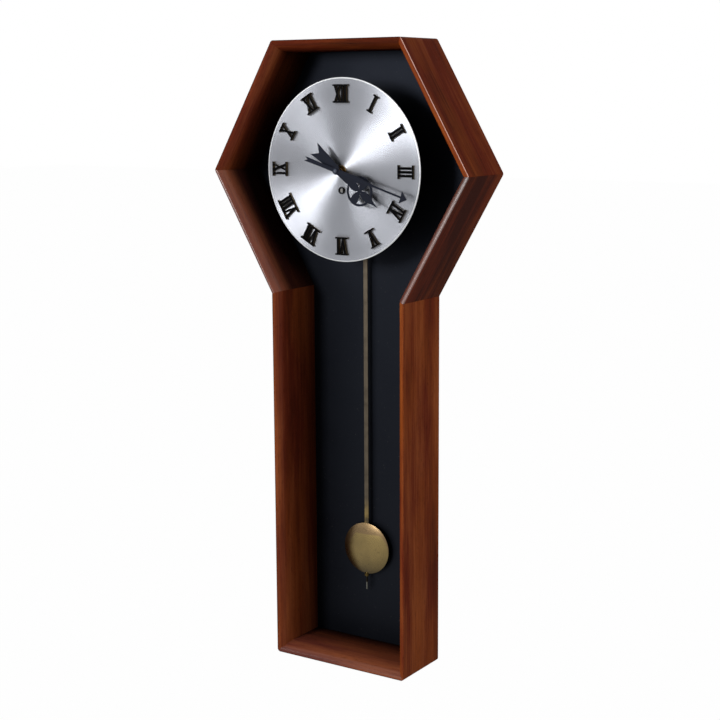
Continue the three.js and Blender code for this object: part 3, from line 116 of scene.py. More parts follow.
# How often each pattern of the wood changes in a metre: along the board and across it for
# the first six, and any way for the last three.
WANDER = (2.6, 11, 11)
FIBRES = (14, 420, 420)
FLAME = (5, 60, 60)
CLOUDS = (4, 16, 16)
PORES = (120, 1500, 1500)
HUES = (6, 26, 26)
GROWTH = 58
SPECKS = 330
RUBBING = 55
WOOD_RELIEF = 0.12
LIT_ROUNDING_TINT = (2.6, 2.7, 0.8)  # how much more of each colour is painted where the rounding looks lit
EDGE_HIGHLIGHT_PAINT = (250, 205, 190)  # a painted highlight line along the eased edge
EDGE_SHADE_PAINT = (16, 6, 4)  # a painted shade line along the eased edge


class Value:
    """An output socket that can be used in sums, so that 1 - mask adds its own node."""

    def __init__(self, finish, socket):
        self.finish = finish
        self.socket = socket

    def maths(self, operation, *values, clamp=False):
        settings = {"operation": operation, "use_clamp": clamp}
        return self.finish.node("ShaderNodeMath", settings, dict(enumerate(values)))

    def __add__(self, other):
        return self.maths("ADD", self, other)

    def __radd__(self, other):
        return self.maths("ADD", other, self)

    def __sub__(self, other):
        return self.maths("SUBTRACT", self, other)

    def __rsub__(self, other):
        return self.maths("SUBTRACT", other, self)

    def __mul__(self, other):
        return self.maths("MULTIPLY", self, other)

    def __rmul__(self, other):
        return self.maths("MULTIPLY", other, self)

    def larger(self, other):
        return self.maths("MAXIMUM", self, other)

    def clamped(self):
        return self.maths("ADD", self, 0.0, clamp=True)


def linear(colour):
    """The linear RGBA of an sRGB colour given as 0 to 255."""
    shares = [channel / 255 for channel in colour]
    return (*[s / 12.92 if s <= 0.04045 else ((s + 0.055) / 1.055) ** 2.4 for s in shares], 1.0)


class Finish:
    """A surface finish as a node material. node() makes any node: its settings are put in
    first, then each of its sockets gets a number or a link."""

    def __init__(self, name):
        self.material = bpy.data.materials.new(name)
        self.material.use_nodes = True
        self.tree = self.material.node_tree
        self.tree.nodes.clear()
        self.position = self.node("ShaderNodeTexCoord", output="Object")

    def node(self, kind, settings=None, values=None, output=0):
        made = self.tree.nodes.new(kind)
        for name, setting in (settings or {}).items():
            if name == "stops":
                ramp = made.color_ramp.elements
                while len(ramp) < len(setting):
                    ramp.new(0.5)
                for stop, (level, colour) in zip(ramp, setting):
                    stop.position = level
                    stop.color = colour
            else:
                setattr(made, name, setting)
        for socket, value in (values or {}).items():
            if isinstance(value, Value):
                self.tree.links.new(value.socket, made.inputs[socket])
            else:
                made.inputs[socket].default_value = value
        return None if output is None else Value(self, made.outputs[output])

    def part(self, vector, axis):
        return self.node("ShaderNodeSeparateXYZ", None, {"Vector": vector}, axis)

    def noise(self, vector, scale, stretch=(1, 1, 1), detail=3.0, roughness=0.5):
        """Soft noise that changes about scale times a metre, times stretch on each axis."""
        scales = [scale * share for share in stretch]
        grid = self.node("ShaderNodeMapping", None, {"Vector": vector, "Scale": scales})
        values = {"Vector": grid, "Scale": 1.0, "Detail": detail, "Roughness": roughness}
        return self.node("ShaderNodeTexNoise", None, values)

    def bands(self, measure, scale, detail, roughness=0.5):
        """Noise that follows one measure alone, as growth rings and lathe marks do."""
        values = {"W": measure, "Scale": scale, "Detail": detail, "Roughness": roughness}
        return self.node("ShaderNodeTexNoise", {"noise_dimensions": "1D"}, values)

    def ramp(self, value, stops):
        return self.node("ShaderNodeValToRGB", {"stops": stops}, {"Fac": value})

    def between(self, value, low, high):
        """0 at low and 1 at high, level beyond them. Either may be the larger."""
        values = {"Value": value, "From Min": low, "From Max": high}
        return self.node("ShaderNodeMapRange", {"clamp": True}, values)

    def blend(self, share, first, second):
        """One colour turning into another."""
        return self.node("ShaderNodeMix", {"data_type": "RGBA"}, {0: share, 6: first, 7: second}, 2)

    def shade(self, colour, amount):
        """A colour times a number."""
        grey = self.node("ShaderNodeCombineXYZ", None, {0: amount, 1: amount, 2: amount})
        tint = colour if isinstance(colour, Value) else colour[:3]
        return self.node("ShaderNodeVectorMath", {"operation": "MULTIPLY"}, {0: tint, 1: grey})

    def relief(self, height, depth):
        """Bumps of a depth in millimetres."""
        values = {"Height": height, "Distance": depth * MM, "Strength": 1.0}
        return self.node("ShaderNodeBump", None, values, "Normal")

    def principled(self, **values):
        named = {name.replace("_", " "): value for name, value in values.items()}
        return self.node("ShaderNodeBsdfPrincipled", None, named)

    def show(self, shader):
        self.node("ShaderNodeOutputMaterial", None, {"Surface": shader}, None)
        return self.material

    def surface(self, **values):
        return self.show(self.principled(**values))


def walnut(name, along, outer, shift, handled=0, tone=0, sheen_paint=0, wiped=0, stained=0.3, lit_rounding=0, edge_line_paint=0):
    """Walnut whose grain runs at the angle along, for a board whose outer face lies outer
    from the origin. The rest is that board's looks, as BOARDS gives them."""
    finish = Finish(name)
    turned = {"Vector": finish.position, "Rotation": (0, along, 0), "Location": shift}
    board = finish.node("ShaderNodeMapping", None, turned)
    wander = finish.noise(board, 1.0, WANDER, 2.0)
    depth, width = finish.part(board, "Y"), finish.part(board, "Z")
    growth = finish.bands(depth + width * 0.6 + wander * 0.06, GROWTH, 3.0)
    fibres = finish.noise(board, 1.0, FIBRES, 4.0, 0.6)
    flame = finish.noise(board, 1.0, FLAME, 3.0, 0.55)
    clouds = finish.noise(board, 1.0, CLOUDS, 3.0, 0.5)
    pores = finish.between(finish.noise(board, 1.0, PORES, 1.0), 0.62, 0.72)
    specks = finish.between(finish.noise(finish.position, SPECKS, detail=2.0), 0.68, 0.76)
    figure = growth * 0.13 + flame * 0.3 + fibres * 0.22 + clouds * 0.61
    red_and_orange = []
    for halfway, middle in ((0.66, WALNUT_RED), (0.7, WALNUT_ORANGE)):
        stops = ((0.46, WALNUT_DARK), (halfway, middle), (0.9, WALNUT_PALE))
        red_and_orange.append(finish.ramp(figure, [(stop - tone, linear(shade)) for stop, shade in stops]))
    hue = finish.between(finish.noise(board, 1.0, HUES, 3.0), 0.42, 0.62)
    wood = finish.blend(hue, *red_and_orange)
    # Painted sheen: a grey-pink share over the whole board.
    if sheen_paint:
        wood = finish.blend(sheen_paint, wood, linear(WALNUT_SHEEN_PAINT))
    edge = finish.node("ShaderNodeAttribute", {"attribute_name": "edge"}, None, "Fac")
    deep = finish.node("ShaderNodeAttribute", {"attribute_name": "deep"}, None, "Fac")
    flecks = (0.86 + fibres * 0.28) * (1 - pores * 0.3) * (1 - specks * 0.22)
    # Painted light: the rounding is painted lighter and more orange where it looks lit.
    if lit_rounding:
        times = {0: wood, 1: LIT_ROUNDING_TINT}
        lit_wood = finish.node("ShaderNodeVectorMath", {"operation": "MULTIPLY"}, times)
        wood = finish.blend(edge * lit_rounding, wood, lit_wood)
    # Painted shade: the inner faces, and on some boards the end of the rounding, are darker beside the
    # panel, where shade falls.
    colour = finish.shade(wood, flecks * (1 - deep * stained))
    rubbed = finish.noise(finish.position, RUBBING, detail=4.0)
    # A painted highlight line along the eased edge or, below zero, a painted shade line.
    if edge_line_paint:
        begins, full = [inset * MM for inset in EDGE_LINE]
        side, front = shift[2] + outer * MM, shift[1] - CASE_DEPTH * MM
        beside = finish.between(width, side - begins, side - full)
        ahead = finish.between(depth, front + begins, front + full)
        worn = beside * ahead * (0.7 + rubbed * 0.6) * abs(edge_line_paint)
        colour = finish.blend(worn.clamped(), colour, linear(EDGE_HIGHLIGHT_PAINT if edge_line_paint > 0 else EDGE_SHADE_PAINT))
    return finish.surface(
        Base_Color=colour,
        Roughness=0.42 + rubbed * 0.16 + fibres * 0.08,
        Specular_IOR_Level=0.0,
        Coat_Weight=0.03 + edge * wiped,
        Coat_Roughness=0.2 + 0.14 * handled,
        Coat_IOR=1.5 + 0.3 * handled,
        Normal=finish.relief(fibres * 0.6 - pores * 1.2 + rubbed * 0.5, WOOD_RELIEF),
    )


half_slope = math.tan(math.radians(HEAD_SLOPE))
top_level = cad_high.z / MM
side_level = top_level - (HEAD_WIDTH - TOP_WIDTH) / 2 * half_slope
neck_level = side_level - (HEAD_WIDTH - COLUMN_WIDTH) / 2 * half_slope
bottom_level = cad_low.z / MM
case_corners = [
    Vector((-TOP_WIDTH / 2, top_level)),
    Vector((TOP_WIDTH / 2, top_level)),
    Vector((HEAD_WIDTH / 2, side_level)),
    Vector((COLUMN_WIDTH / 2, neck_level)),
    Vector((COLUMN_WIDTH / 2, bottom_level)),
    Vector((-COLUMN_WIDTH / 2, bottom_level)),
    Vector((-COLUMN_WIDTH / 2, neck_level)),
    Vector((-HEAD_WIDTH / 2, side_level)),
]


def smooth(mesh, sharp_degrees=SHARP):
    mesh.polygons.foreach_set("use_smooth", [True] * len(mesh.polygons))
    mesh.set_sharp_from_angle(angle=math.radians(sharp_degrees))


def use(node, material):
    """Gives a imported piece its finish."""
    nodes[node].data.materials.clear()
    nodes[node].data.materials.append(material)


def place(name, mesh, material, body):
    """Puts a finished mesh in the scene and hangs it on its body."""
    made = bpy.data.objects.new(name, mesh)
    bpy.context.scene.collection.objects.link(made)
    mesh.materials.clear()
    mesh.materials.append(material)
    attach(made, body)
    return made


def board_section(handled, rounding_shade):
    """Points of a board's cross section: inward from the outer face, depth, and how much of
    a polished edge and of painted shade each has. handled is the polish of its outer corner;
    the second argument is how much painted shade, full on the inner face, reaches back over
    the end of the rounding."""
    front = [(0.0, 0.0, 0, 0), (0.0, 2 * EASED_EDGE - CASE_DEPTH, 0, 0), (0.0, -CASE_DEPTH, handled, 0)]
    rounding = []
    for step in range(1, ROUNDING_STEPS + 1):
        turn = step / ROUNDING_STEPS * math.pi / 2
        depth = -CASE_DEPTH + ROUNDING_DEPTH * (1 - math.cos(turn))
        polish = max(handled * math.cos(turn) ** 0.5, math.sin(2 * turn) ** 0.5)
        shade_ramp = rounding_shade * max(0.0, (step / ROUNDING_STEPS - SHADE_FROM) / (1 - SHADE_FROM))
        rounding.append((BOARD * math.sin(turn), depth, polish, shade_ramp))
    lip = BOARD - RABBET
    return front + rounding + [(BOARD, PANEL_FRONT, 0, 1), (lip, PANEL_FRONT, 0, 1), (lip, 0.0, 0, 0)]


def mitre(index):
    """Half of the angle inside the case at a corner."""
    here = case_corners[index % 8]
    before = case_corners[(index - 1) % 8] - here
    after = case_corners[(index + 1) % 8] - here
    turn = math.atan2(after.y, after.x) - math.atan2(before.y, before.x)
    return turn % (2 * math.pi) / 2


def round_corner(bm, index):
    """Planes off the outer corner, each touching an arc that meets both faces."""
    corner = case_corners[index % 8]
    half = mitre(index)
    if half > math.pi / 2:
        return
    after = case_corners[(index + 1) % 8] - corner
    inside = math.atan2(after.y, after.x) - half
    middle = corner + Vector((math.cos(inside), math.sin(inside))) * (CORNER_ROUNDING / math.sin(half))
    sweep = math.pi / 2 - half
    for facet in range(CORNER_FACETS):
        turn = inside + math.pi + sweep * ((2 * facet + 1) / CORNER_FACETS - 1)
        out = Vector((math.cos(turn), math.sin(turn)))
        spot = middle + out * CORNER_ROUNDING
        cut = bmesh.ops.bisect_plane(
            bm,
            geom=bm.verts[:] + bm.edges[:] + bm.faces[:],
            dist=HAIR / 10,
            plane_co=Vector((spot.x, 0, spot.y)) * MM,
            plane_no=(out.x, 0, out.y),
            clear_outer=True,
        )
        rim = [part for part in cut["geom_cut"] if isinstance(part, bmesh.types.BMEdge)]
        bmesh.ops.edgeloop_fill(bm, edges=[edge for edge in rim if edge.is_boundary])


def board_mesh(index, handled, rounding_shade):
    start, end = case_corners[index], case_corners[(index + 1) % 8]
    run = (end - start).normalized()
    inward = Vector((run.y, -run.x))
    section = board_section(handled, rounding_shade)
    bm = bmesh.new()
    edge_share = bm.verts.layers.float.new("edge")
    # Where painted shade darkens the board beside the panel.
    recess_shade_layer = bm.verts.layers.float.new("deep")
    rings = []
    planes = []
    for corner, sense, angle in ((start, 1, mitre(index)), (end, -1, mitre(index + 1))):
        ring = []
        for reach, depth, at_edge, recess_shade_here in section:
            back = reach / math.tan(angle) + GLUE_LINE / math.sin(angle)
            spot = corner + run * (sense * back) + inward * reach
            ring.append(bm.verts.new(Vector((spot.x, depth, spot.y)) * MM))
            ring[-1][edge_share] = at_edge
            ring[-1][recess_shade_layer] = recess_shade_here
        rings.append(ring)
        planes.append((ring[0].co.copy(), run * math.sin(angle) * sense - inward * math.cos(angle)))
    count = len(section)
    for i in range(count):
        j = (i + 1) % count
        bm.faces.new((rings[0][i], rings[0][j], rings[1][j], rings[1][i]))
    bm.faces.new(rings[0][::-1])
    bm.faces.new(rings[1])
    round_corner(bm, index)
    round_corner(bm, index + 1)
    polish_ends = Vector((0, 2 * EASED_EDGE - CASE_DEPTH, 0)) * MM
    everything = bm.verts[:] + bm.edges[:] + bm.faces[:]
    bmesh.ops.bisect_plane(bm, geom=everything, dist=HAIR / 10, plane_co=polish_ends, plane_no=(0, 1, 0))
    for vert in bm.verts:
        reach = (Vector((vert.co.x, vert.co.z)) / MM - start).dot(inward)
        if reach < EASED_EDGE and vert.co.y > polish_ends.y - HAIR:
            vert[edge_share] = 0.0
    bmesh.ops.recalc_face_normals(bm, faces=bm.faces)
    weights = bm.edges.layers.float.new("bevel_weight_edge")
    for edge in bm.edges:
        weight = 1.0 if edge.calc_face_angle() > math.radians(EASED_ANGLE) else 0.0
        for point, facing in planes:
            gaps = [(vert.co - point).dot((facing.x, 0, facing.y)) for vert in edge.verts]
            if max(map(abs, gaps)) < HAIR:
                weight = MITRE_EDGE
        edge[weights] = weight
    mesh = bpy.data.meshes.new(f"board_{index}")
    bm.to_mesh(mesh)
    bm.free()
    smooth(mesh, BOARD_SHARP)
    return mesh


# The looks of each board, in the order of the corners. shift moves its pattern, handled is 1
# where hands have softened the gloss of its front corner, tone is the share of light wood,
# then how much painted sheen greys it, wiped how much dusting has polished its rounding,
# stained how much painted shade darkens it beside the panel, then how much lighter its
# rounding is painted where it looks lit, and last how strong a painted highlight line lies
# along its eased edge or, below zero, how dark a painted shade line lies there.
BOARDS = {
    "top_board": dict(shift=(0.3, 0.02, 0.1), tone=0.02, wiped=0.02, edge_line_paint=-0.8),
    "upper_right_board": dict(
        shift=(1.7, 0.31, 0.2), handled=0.5, tone=0.01, wiped=0.16, lit_rounding=0.6, edge_line_paint=0.7
    ),
    "lower_right_board": dict(shift=(2.9, 0.57, 0.6), handled=1, tone=-0.07, sheen_paint=0.04, wiped=1.0),
    "right_side_board": dict(shift=(4.1, 0.83, 0.9), handled=0.3, tone=0.06, wiped=0.06, lit_rounding=0.3),
    "bottom_board": dict(shift=(5.6, 0.22, 1.3), tone=0.03, sheen_paint=0.17, wiped=0.45, stained=0.97, edge_line_paint=-0.8),
    "left_side_board": dict(shift=(6.8, 0.41, 1.6), tone=0.1, sheen_paint=0.03, wiped=0.06, stained=0.7, edge_line_paint=-0.8),
    "lower_left_board": dict(
        shift=(8.2, 0.73, 2.1), tone=0.05, sheen_paint=0.3, wiped=0.4, stained=0.9, lit_rounding=0.1, edge_line_paint=-0.8
    ),
    "upper_left_board": dict(
        shift=(9.5, 0.11, 2.6), tone=0.08, sheen_paint=0.03, wiped=0.04, stained=0.95, edge_line_paint=-0.8
    ),
}
ROUNDING_SHADE = {"lower_left_board": 0.7, "upper_left_board": 0.7}  # how much painted shade reaches over the end of the rounding

for index, (node, looks) in enumerate(BOARDS.items()):
    run = case_corners[(index + 1) % 8] - case_corners[index]
    outer = case_corners[index].dot(Vector((-run.y, run.x)).normalized())
    timber = walnut(f"walnut_{node}", math.atan2(run.y, run.x), outer, **looks)
    mesh = board_mesh(index, looks.get("handled", 0), ROUNDING_SHADE.get(node, 0))
    board = place(f"moulded_{node}", mesh, timber, "case")
    edges = board.modifiers.new("eased edges", "BEVEL")
    edges.limit_method = "WEIGHT"
    edges.width = EASED_EDGE * MM
    edges.segments = 3
    edges.harden_normals = True
    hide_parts(node)
    use(node, timber)


# ---------------------------------------------------------------------------------------
# Back panel
# A sheet of hardboard sprayed satin black. It drops into the rabbet from behind, and a row
# of brads holds it there.

PANEL_BLACK = (3, 3, 5)
PANEL_GREY = (7, 8, 10)
PANEL_SHEEN = (0.62, 0.72, 1.0, 1.0)
DUST = (70, 70, 68)
PAINT_RELIEF = 0.05

paint = Finish("satin_black_paint")
mottle = paint.noise(paint.position, 22, detail=4.0)
spray = paint.noise(paint.position, 1400, detail=2.0)
dust = paint.between(paint.noise(paint.position, 420, detail=1.0), 0.74, 0.80)
sprayed = paint.blend(mottle, linear(PANEL_BLACK), linear(PANEL_GREY))
satin_black = paint.surface(
    Base_Color=paint.blend(dust * 0.3, sprayed, linear(DUST)),
    Roughness=0.36 + mottle * 0.12 + spray * 0.05,
    Specular_IOR_Level=0.12,
    Specular_Tint=PANEL_SHEEN,
    Normal=paint.relief(spray, PAINT_RELIEF),
)
use("back_panel", satin_black)


# ---------------------------------------------------------------------------------------
# Brads
# Round-headed steel pins, driven through the edge of the panel into the lip of each board,
# about two inches apart and clear of the mitres.

BRAD_SPACING = 52
BRAD_HEAD = 1.5  # radius
BRAD_CROWN = 0.5  # height of a head, as a share of its radius
BRAD_REACH = 9.8  # from the outer faces of the boards
BRAD_CLEAR = 16  # from the mitres
BRAD_FACETS = (20, 10)  # round a head, and from pole to pole
BRAD_SIZES = (0.9, 1.08)  # smallest and largest head, as shares
PANEL_BACK = -5.0
BRAD_SEED = 7
BRAD_STEEL = (132, 130, 126)
BRAD_STAIN = (84, 78, 70)
SCRATCH_DEPTH = 0.03


def tarnish(finish):
    """Where tarnish lies on a metal, in broad patches with ragged edges."""
    return finish.between(finish.noise(finish.position, 60, detail=4.0), 0.42, 0.72)


def metal(name, bright, stained, roughness, brushing=(1, 1, 1), scale=600):
    """Bright metal with a brushed or tumbled surface and patches of tarnish."""
    finish = Finish(name)
    patches = tarnish(finish)
    scratches = finish.noise(finish.position, scale, brushing, 2.0, 0.6)
    colour = finish.blend(patches, linear(bright), linear(stained))
    return finish.surface(
        Base_Color=finish.shade(colour, 0.85 + scratches * 0.3),
        Metallic=1.0,
        Roughness=roughness + patches * 0.12 + scratches * 0.12,
        Normal=finish.relief(scratches, SCRATCH_DEPTH),
    )


def brad_tree():
    """Geometry nodes that set a brad at every step along each edge of a mesh."""
    tree = bpy.data.node_groups.new("row of brads", "GeometryNodeTree")
    sockets = (
        ("Geometry", "NodeSocketGeometry"),
        ("Spacing", "NodeSocketFloat"),
        ("Head radius", "NodeSocketFloat"),
        ("Crown", "NodeSocketFloat"),
        ("Seed", "NodeSocketInt"),
        ("Finish", "NodeSocketMaterial"),
    )
    for name, kind in sockets:
        tree.interface.new_socket(name, in_out="INPUT", socket_type=kind)
    tree.interface.new_socket("Geometry", in_out="OUTPUT", socket_type="NodeSocketGeometry")

    def add(kind, settings, values, output=0):
        made = tree.nodes.new(kind)
        for name, setting in settings.items():
            setattr(made, name, setting)
        for socket, value in values.items():
            if isinstance(value, bpy.types.NodeSocket):
                tree.links.new(value, made.inputs[socket])
            else:
                made.inputs[socket].default_value = value
        return made.outputs[output] if output is not None else None

    sizes = tree.nodes.new("NodeGroupInput").outputs
    path = add("GeometryNodeMeshToCurve", {}, {"Mesh": sizes["Geometry"]})
    steps = {"Curve": path, "Length": sizes["Spacing"]}
    stations = add("GeometryNodeResampleCurve", {"mode": "LENGTH"}, steps)
    round_head = {"Segments": BRAD_FACETS[0], "Rings": BRAD_FACETS[1], "Radius": sizes["Head radius"]}
    ball = add("GeometryNodeMeshUVSphere", {}, round_head)
    flat = add("ShaderNodeCombineXYZ", {}, {"X": 1.0, "Y": sizes["Crown"], "Z": 1.0})
    head = add("GeometryNodeTransform", {}, {"Geometry": ball, "Scale": flat})
    rounded = add("GeometryNodeSetShadeSmooth", {}, {"Geometry": head})
    smallest, largest = BRAD_SIZES
    limits = {2: smallest, 3: largest, "Seed": sizes["Seed"]}
    struck = add("FunctionNodeRandomValue", {"data_type": "FLOAT"}, limits, 1)
    row = {"Points": stations, "Instance": rounded, "Scale": struck}
    pins = add("GeometryNodeInstanceOnPoints", {}, row)
    solid = add("GeometryNodeRealizeInstances", {}, {"Geometry": pins})
    finished = add("GeometryNodeSetMaterial", {}, {"Geometry": solid, "Material": sizes["Finish"]})
    add("NodeGroupOutput", {}, {"Geometry": finished}, None)
    return tree


brad_steel = metal("brad_steel", BRAD_STEEL, BRAD_STAIN, 0.3)
outline_bm = bmesh.new()
for index, corner in enumerate(case_corners):
    following = case_corners[(index + 1) % 8]
    run = (following - corner).normalized()
    inward = Vector((run.y, -run.x))
    for spot, angle, sense in ((corner, mitre(index), 1), (following, mitre(index + 1), -1)):
        along = BRAD_REACH / math.tan(angle) + BRAD_CLEAR
        pin = spot + inward * BRAD_REACH + run * (sense * along)
        outline_bm.verts.new(Vector((pin.x, PANEL_BACK, pin.y)) * MM)
    outline_bm.verts.ensure_lookup_table()
    outline_bm.edges.new(outline_bm.verts[-2:])
pin_line = bpy.data.meshes.new("pin_line")
outline_bm.to_mesh(pin_line)
outline_bm.free()
brads = bpy.data.objects.new("panel_brads", pin_line)
bpy.context.scene.collection.objects.link(brads)
row_of_brads = brads.modifiers.new("row of brads", "NODES")
row_of_brads.node_group = brad_tree()
brad_inputs = {
    "Spacing": BRAD_SPACING * MM,
    "Head radius": BRAD_HEAD * MM,
    "Crown": BRAD_CROWN,
    "Seed": BRAD_SEED,
    "Finish": brad_steel,
}
for socket in row_of_brads.node_group.interface.items_tree:
    if socket.in_out == "INPUT" and socket.name in brad_inputs:
        row_of_brads[socket.identifier] = brad_inputs[socket.name]
pinned = brads.evaluated_get(bpy.context.evaluated_depsgraph_get())
brads.data = bpy.data.meshes.new_from_object(pinned)
brads.modifiers.remove(row_of_brads)
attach(brads, "case")


# ---------------------------------------------------------------------------------------
# Hanger
# Zinc-plated sheet steel, stamped with a keyhole and bent to stand clear of the panel. A
# slotted screw holds each end.

ZINC = (140, 142, 146)
ZINC_DULL = (108, 108, 104)
SLOT_WIDTH = 0.9
SLOT_DEPTH = 0.75
SLOT_OVERRUN = 1  # by which the cut is longer than the head
SCREW_HEAD = 3.4  # radius
HANGER_FACE = -2.1  # outer faces of the screws
HANGER_SCREWS = ((-32, -6.5, 24), (32, -6.5, -47))  # x, z and the turn of the slot
HANGER_EDGE = 0.2
FLAT_ANGLE = 0.5  # degrees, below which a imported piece's small faces are one


def carve(made, middle, size, turn=0):
    """Cuts a box out of a piece, turned in degrees about a line along Y."""
    bm = bmesh.new()
    spot = Matrix.Translation(Vector(middle) * MM) @ Matrix.Rotation(math.radians(turn), 4, "Y")
    bmesh.ops.create_cube(bm, size=MM, matrix=spot @ Matrix.Diagonal((*size, 1)))
    tool_mesh = bpy.data.meshes.new("tool")
    bm.to_mesh(tool_mesh)
    bm.free()
    tool = bpy.data.objects.new("tool", tool_mesh)
    bpy.context.scene.collection.objects.link(tool)
    cut = made.modifiers.new("cut", "BOOLEAN")
    cut.object = tool
    cut.solver = "EXACT"
    evaluated = made.evaluated_get(bpy.context.evaluated_depsgraph_get())
    carved = bpy.data.meshes.new_from_object(evaluated)
    made.modifiers.remove(cut)
    made.data = carved
    bpy.data.objects.remove(tool)


def fettled(node, material, edge, slots=()):
    """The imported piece's own shape with its doubles merged and its edges broken. Each slot
    in a screw's head is its x and z, the level of the head's face, and its turn."""
    mesh = nodes[node].data.copy()
    if "custom_normal" in mesh.attributes:
        mesh.attributes.remove(mesh.attributes["custom_normal"])
    bm = bmesh.new()
    bm.from_mesh(mesh)
    bmesh.ops.remove_doubles(bm, verts=bm.verts, dist=HAIR)
    bmesh.ops.dissolve_limit(bm, angle_limit=math.radians(FLAT_ANGLE), verts=bm.verts, edges=bm.edges)
    bm.to_mesh(mesh)
    bm.free()
    made = place(f"finished_{node}", mesh, material, nodes[node]["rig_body"])
    for x, z, face, turn in slots:
        carve(made, (x, face, z), (2 * SCREW_HEAD + SLOT_OVERRUN, 2 * SLOT_DEPTH, SLOT_WIDTH), turn)
    smooth(made.data)
    broken = made.modifiers.new("broken edges", "BEVEL")
    broken.width = edge * MM
    broken.segments = 2
    broken.angle_limit = math.radians(SHARP)
    broken.harden_normals = True
    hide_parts(node)
    use(node, material)


zinc_plate = metal("zinc_plate", ZINC, ZINC_DULL, 0.36, (0.05, 1, 1), 700)
hanger_slots = [(x, z, HANGER_FACE, turn) for x, z, turn in HANGER_SCREWS]
fettled("hanger_plate", zinc_plate, HANGER_EDGE, hanger_slots)


# ---------------------------------------------------------------------------------------
# Movement
# A spring-driven clock movement. Its plates, wheels and pillars are lacquered brass, and
# its arbors, anchor and click are steel. Four steel posts hold it off the panel, each with
# a slotted screw through from behind.

BRASS = (176, 141, 74)
BRASS_TARNISH = (120, 92, 48)
STEEL = (150, 152, 156)
STEEL_STAIN = (104, 104, 106)
BLUED = (52, 62, 92)
BLUED_STRAW = (86, 74, 70)
ARBOR_STEEL = (72, 74, 82)
BLACK_STEEL = (98, 97, 94)
BLACK_STEEL_WORN = (60, 58, 56)
POST_EDGE = 0.15
POST_SLOT_TURNS = (20, -35, 62, 8)
ARBOR_SEAM = 0.02  # over which steel turns into brass
# The radius of the steel pinion and arbor of each wheel where they show.
ARBORS = {"intermediate_wheel": 3.0, "centre_wheel": 2.8, "third_wheel": 2.1, "escape_wheel": 2.0}

movement_brass = metal("movement_brass", BRASS, BRASS_TARNISH, 0.26)
plate_brass = metal("plate_brass", BRASS, BRASS_TARNISH, 0.24, (1, 1, 0.04), 900)
bright_steel = metal("bright_steel", STEEL, STEEL_STAIN, 0.24)
blued_steel = metal("blued_steel", BLUED, BLUED_STRAW, 0.25)
black_steel = metal("black_steel", BLACK_STEEL, BLACK_STEEL_WORN, 0.4)

FINISHES = {
    plate_brass: ["front_plate", "back_plate"],
    movement_brass: [
        *[f"plate_pillar_{i}" for i in (1, 2, 3, 4)],
        *[f"dial_foot_{i}" for i in (1, 2, 3)],
        "minute_wheel", "hour_wheel", "mainspring_barrel", "barrel_cap", "suspension_cock",
        "suspension_top",
    ],
    bright_steel: ["cannon_pinion", "click", "anchor", "crutch"],
    blued_steel: ["mainspring", "suspension_spring"],
    black_steel: ["winding_arbor"],
}
for finish_material, members in FINISHES.items():
    for member in members:
        use(member, finish_material)
for post, turn in enumerate(POST_SLOT_TURNS, 1):
    low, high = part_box(f"mounting_post_{post}")
    middle = (low + high) / 2 / MM
    fettled(f"mounting_post_{post}", bright_steel, POST_EDGE, [(middle.x, middle.z, high.y / MM, turn)])


def from_axis(finish, x, z):
    """The place about a line along Y, flattened onto one plane, and how far out it is."""
    moved = {"Vector": finish.position, "Location": (-x * MM, 0, -z * MM), "Scale": (1, 0, 1)}
    flattened = finish.node("ShaderNodeMapping", None, moved)
    length = finish.node("ShaderNodeVectorMath", {"operation": "LENGTH"}, {0: flattened}, "Value")
    return flattened, length


def wheel_on_arbor(name, x, z, steel_radius):
    """Brass, with steel for the pinion and arbor inside a radius about an axis."""
    finish = Finish(name)
    radius = from_axis(finish, x, z)[1]
    steel = finish.between(radius, (steel_radius + ARBOR_SEAM) * MM, steel_radius * MM)
    patches = tarnish(finish)
    scratches = finish.noise(finish.position, 700, detail=2.0)
    brass = finish.blend(patches, linear(BRASS), linear(BRASS_TARNISH))
    colour = finish.blend(steel, brass, linear(ARBOR_STEEL))
    return finish.surface(
        Base_Color=finish.shade(colour, 0.85 + scratches * 0.3),
        Metallic=1.0,
        Roughness=0.26 + patches * 0.12 + scratches * 0.1,
        Normal=finish.relief(scratches, SCRATCH_DEPTH),
    )


for node, steel_radius in ARBORS.items():
    low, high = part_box(node)
    axis = (low + high) / 2 / MM
    use(node, wheel_on_arbor(f"{node}_finish", axis.x, axis.z, steel_radius))


# ---------------------------------------------------------------------------------------
# Dial
# A disc of spun aluminium, brushed in rings while it turned and then lacquered, with a
# diamond-cut rim and a brass collar round the hole for the hand pipes.

DIAL_RADIUS = 109
DIAL_BEVEL = 1.4
BEVEL_FALL = 0.38
RIM_BREAK = (0.2, 0.6)  # inward from the rim and back from the face
DIAL_BORE = 4.2
COLLAR = 6.2
COLLAR_HEIGHT = 1.4
COLLAR_EDGE = 0.4
DIAL_FACETS = 256
DIAL_CENTRE = (0.0, -113.0)  # x and z
DIAL_FRONT = -68.0
DIAL_BACK = -67.0
ALUMINIUM = (130, 132, 138)
# The rim is painted near white and mostly non-metal: its own bright metal, with a painted glint on top.
RIM_GLINT_PAINT = (206, 208, 210)
COLLAR_BRASS = (96, 78, 44)
GROOVE_LEANS = (-0.36, 0.36, -0.24, 0.24, -0.12, 0.12)  # slopes of the sides of the grooves
GROOVE_JITTER = 0.06
DIAL_SEAM = 0.05  # over which one finish turns into the next
PALE_ZONE = (96, 106)  # radii between which the face turns paler
FACE_METAL = 0.76
RIM_METAL = 0.25


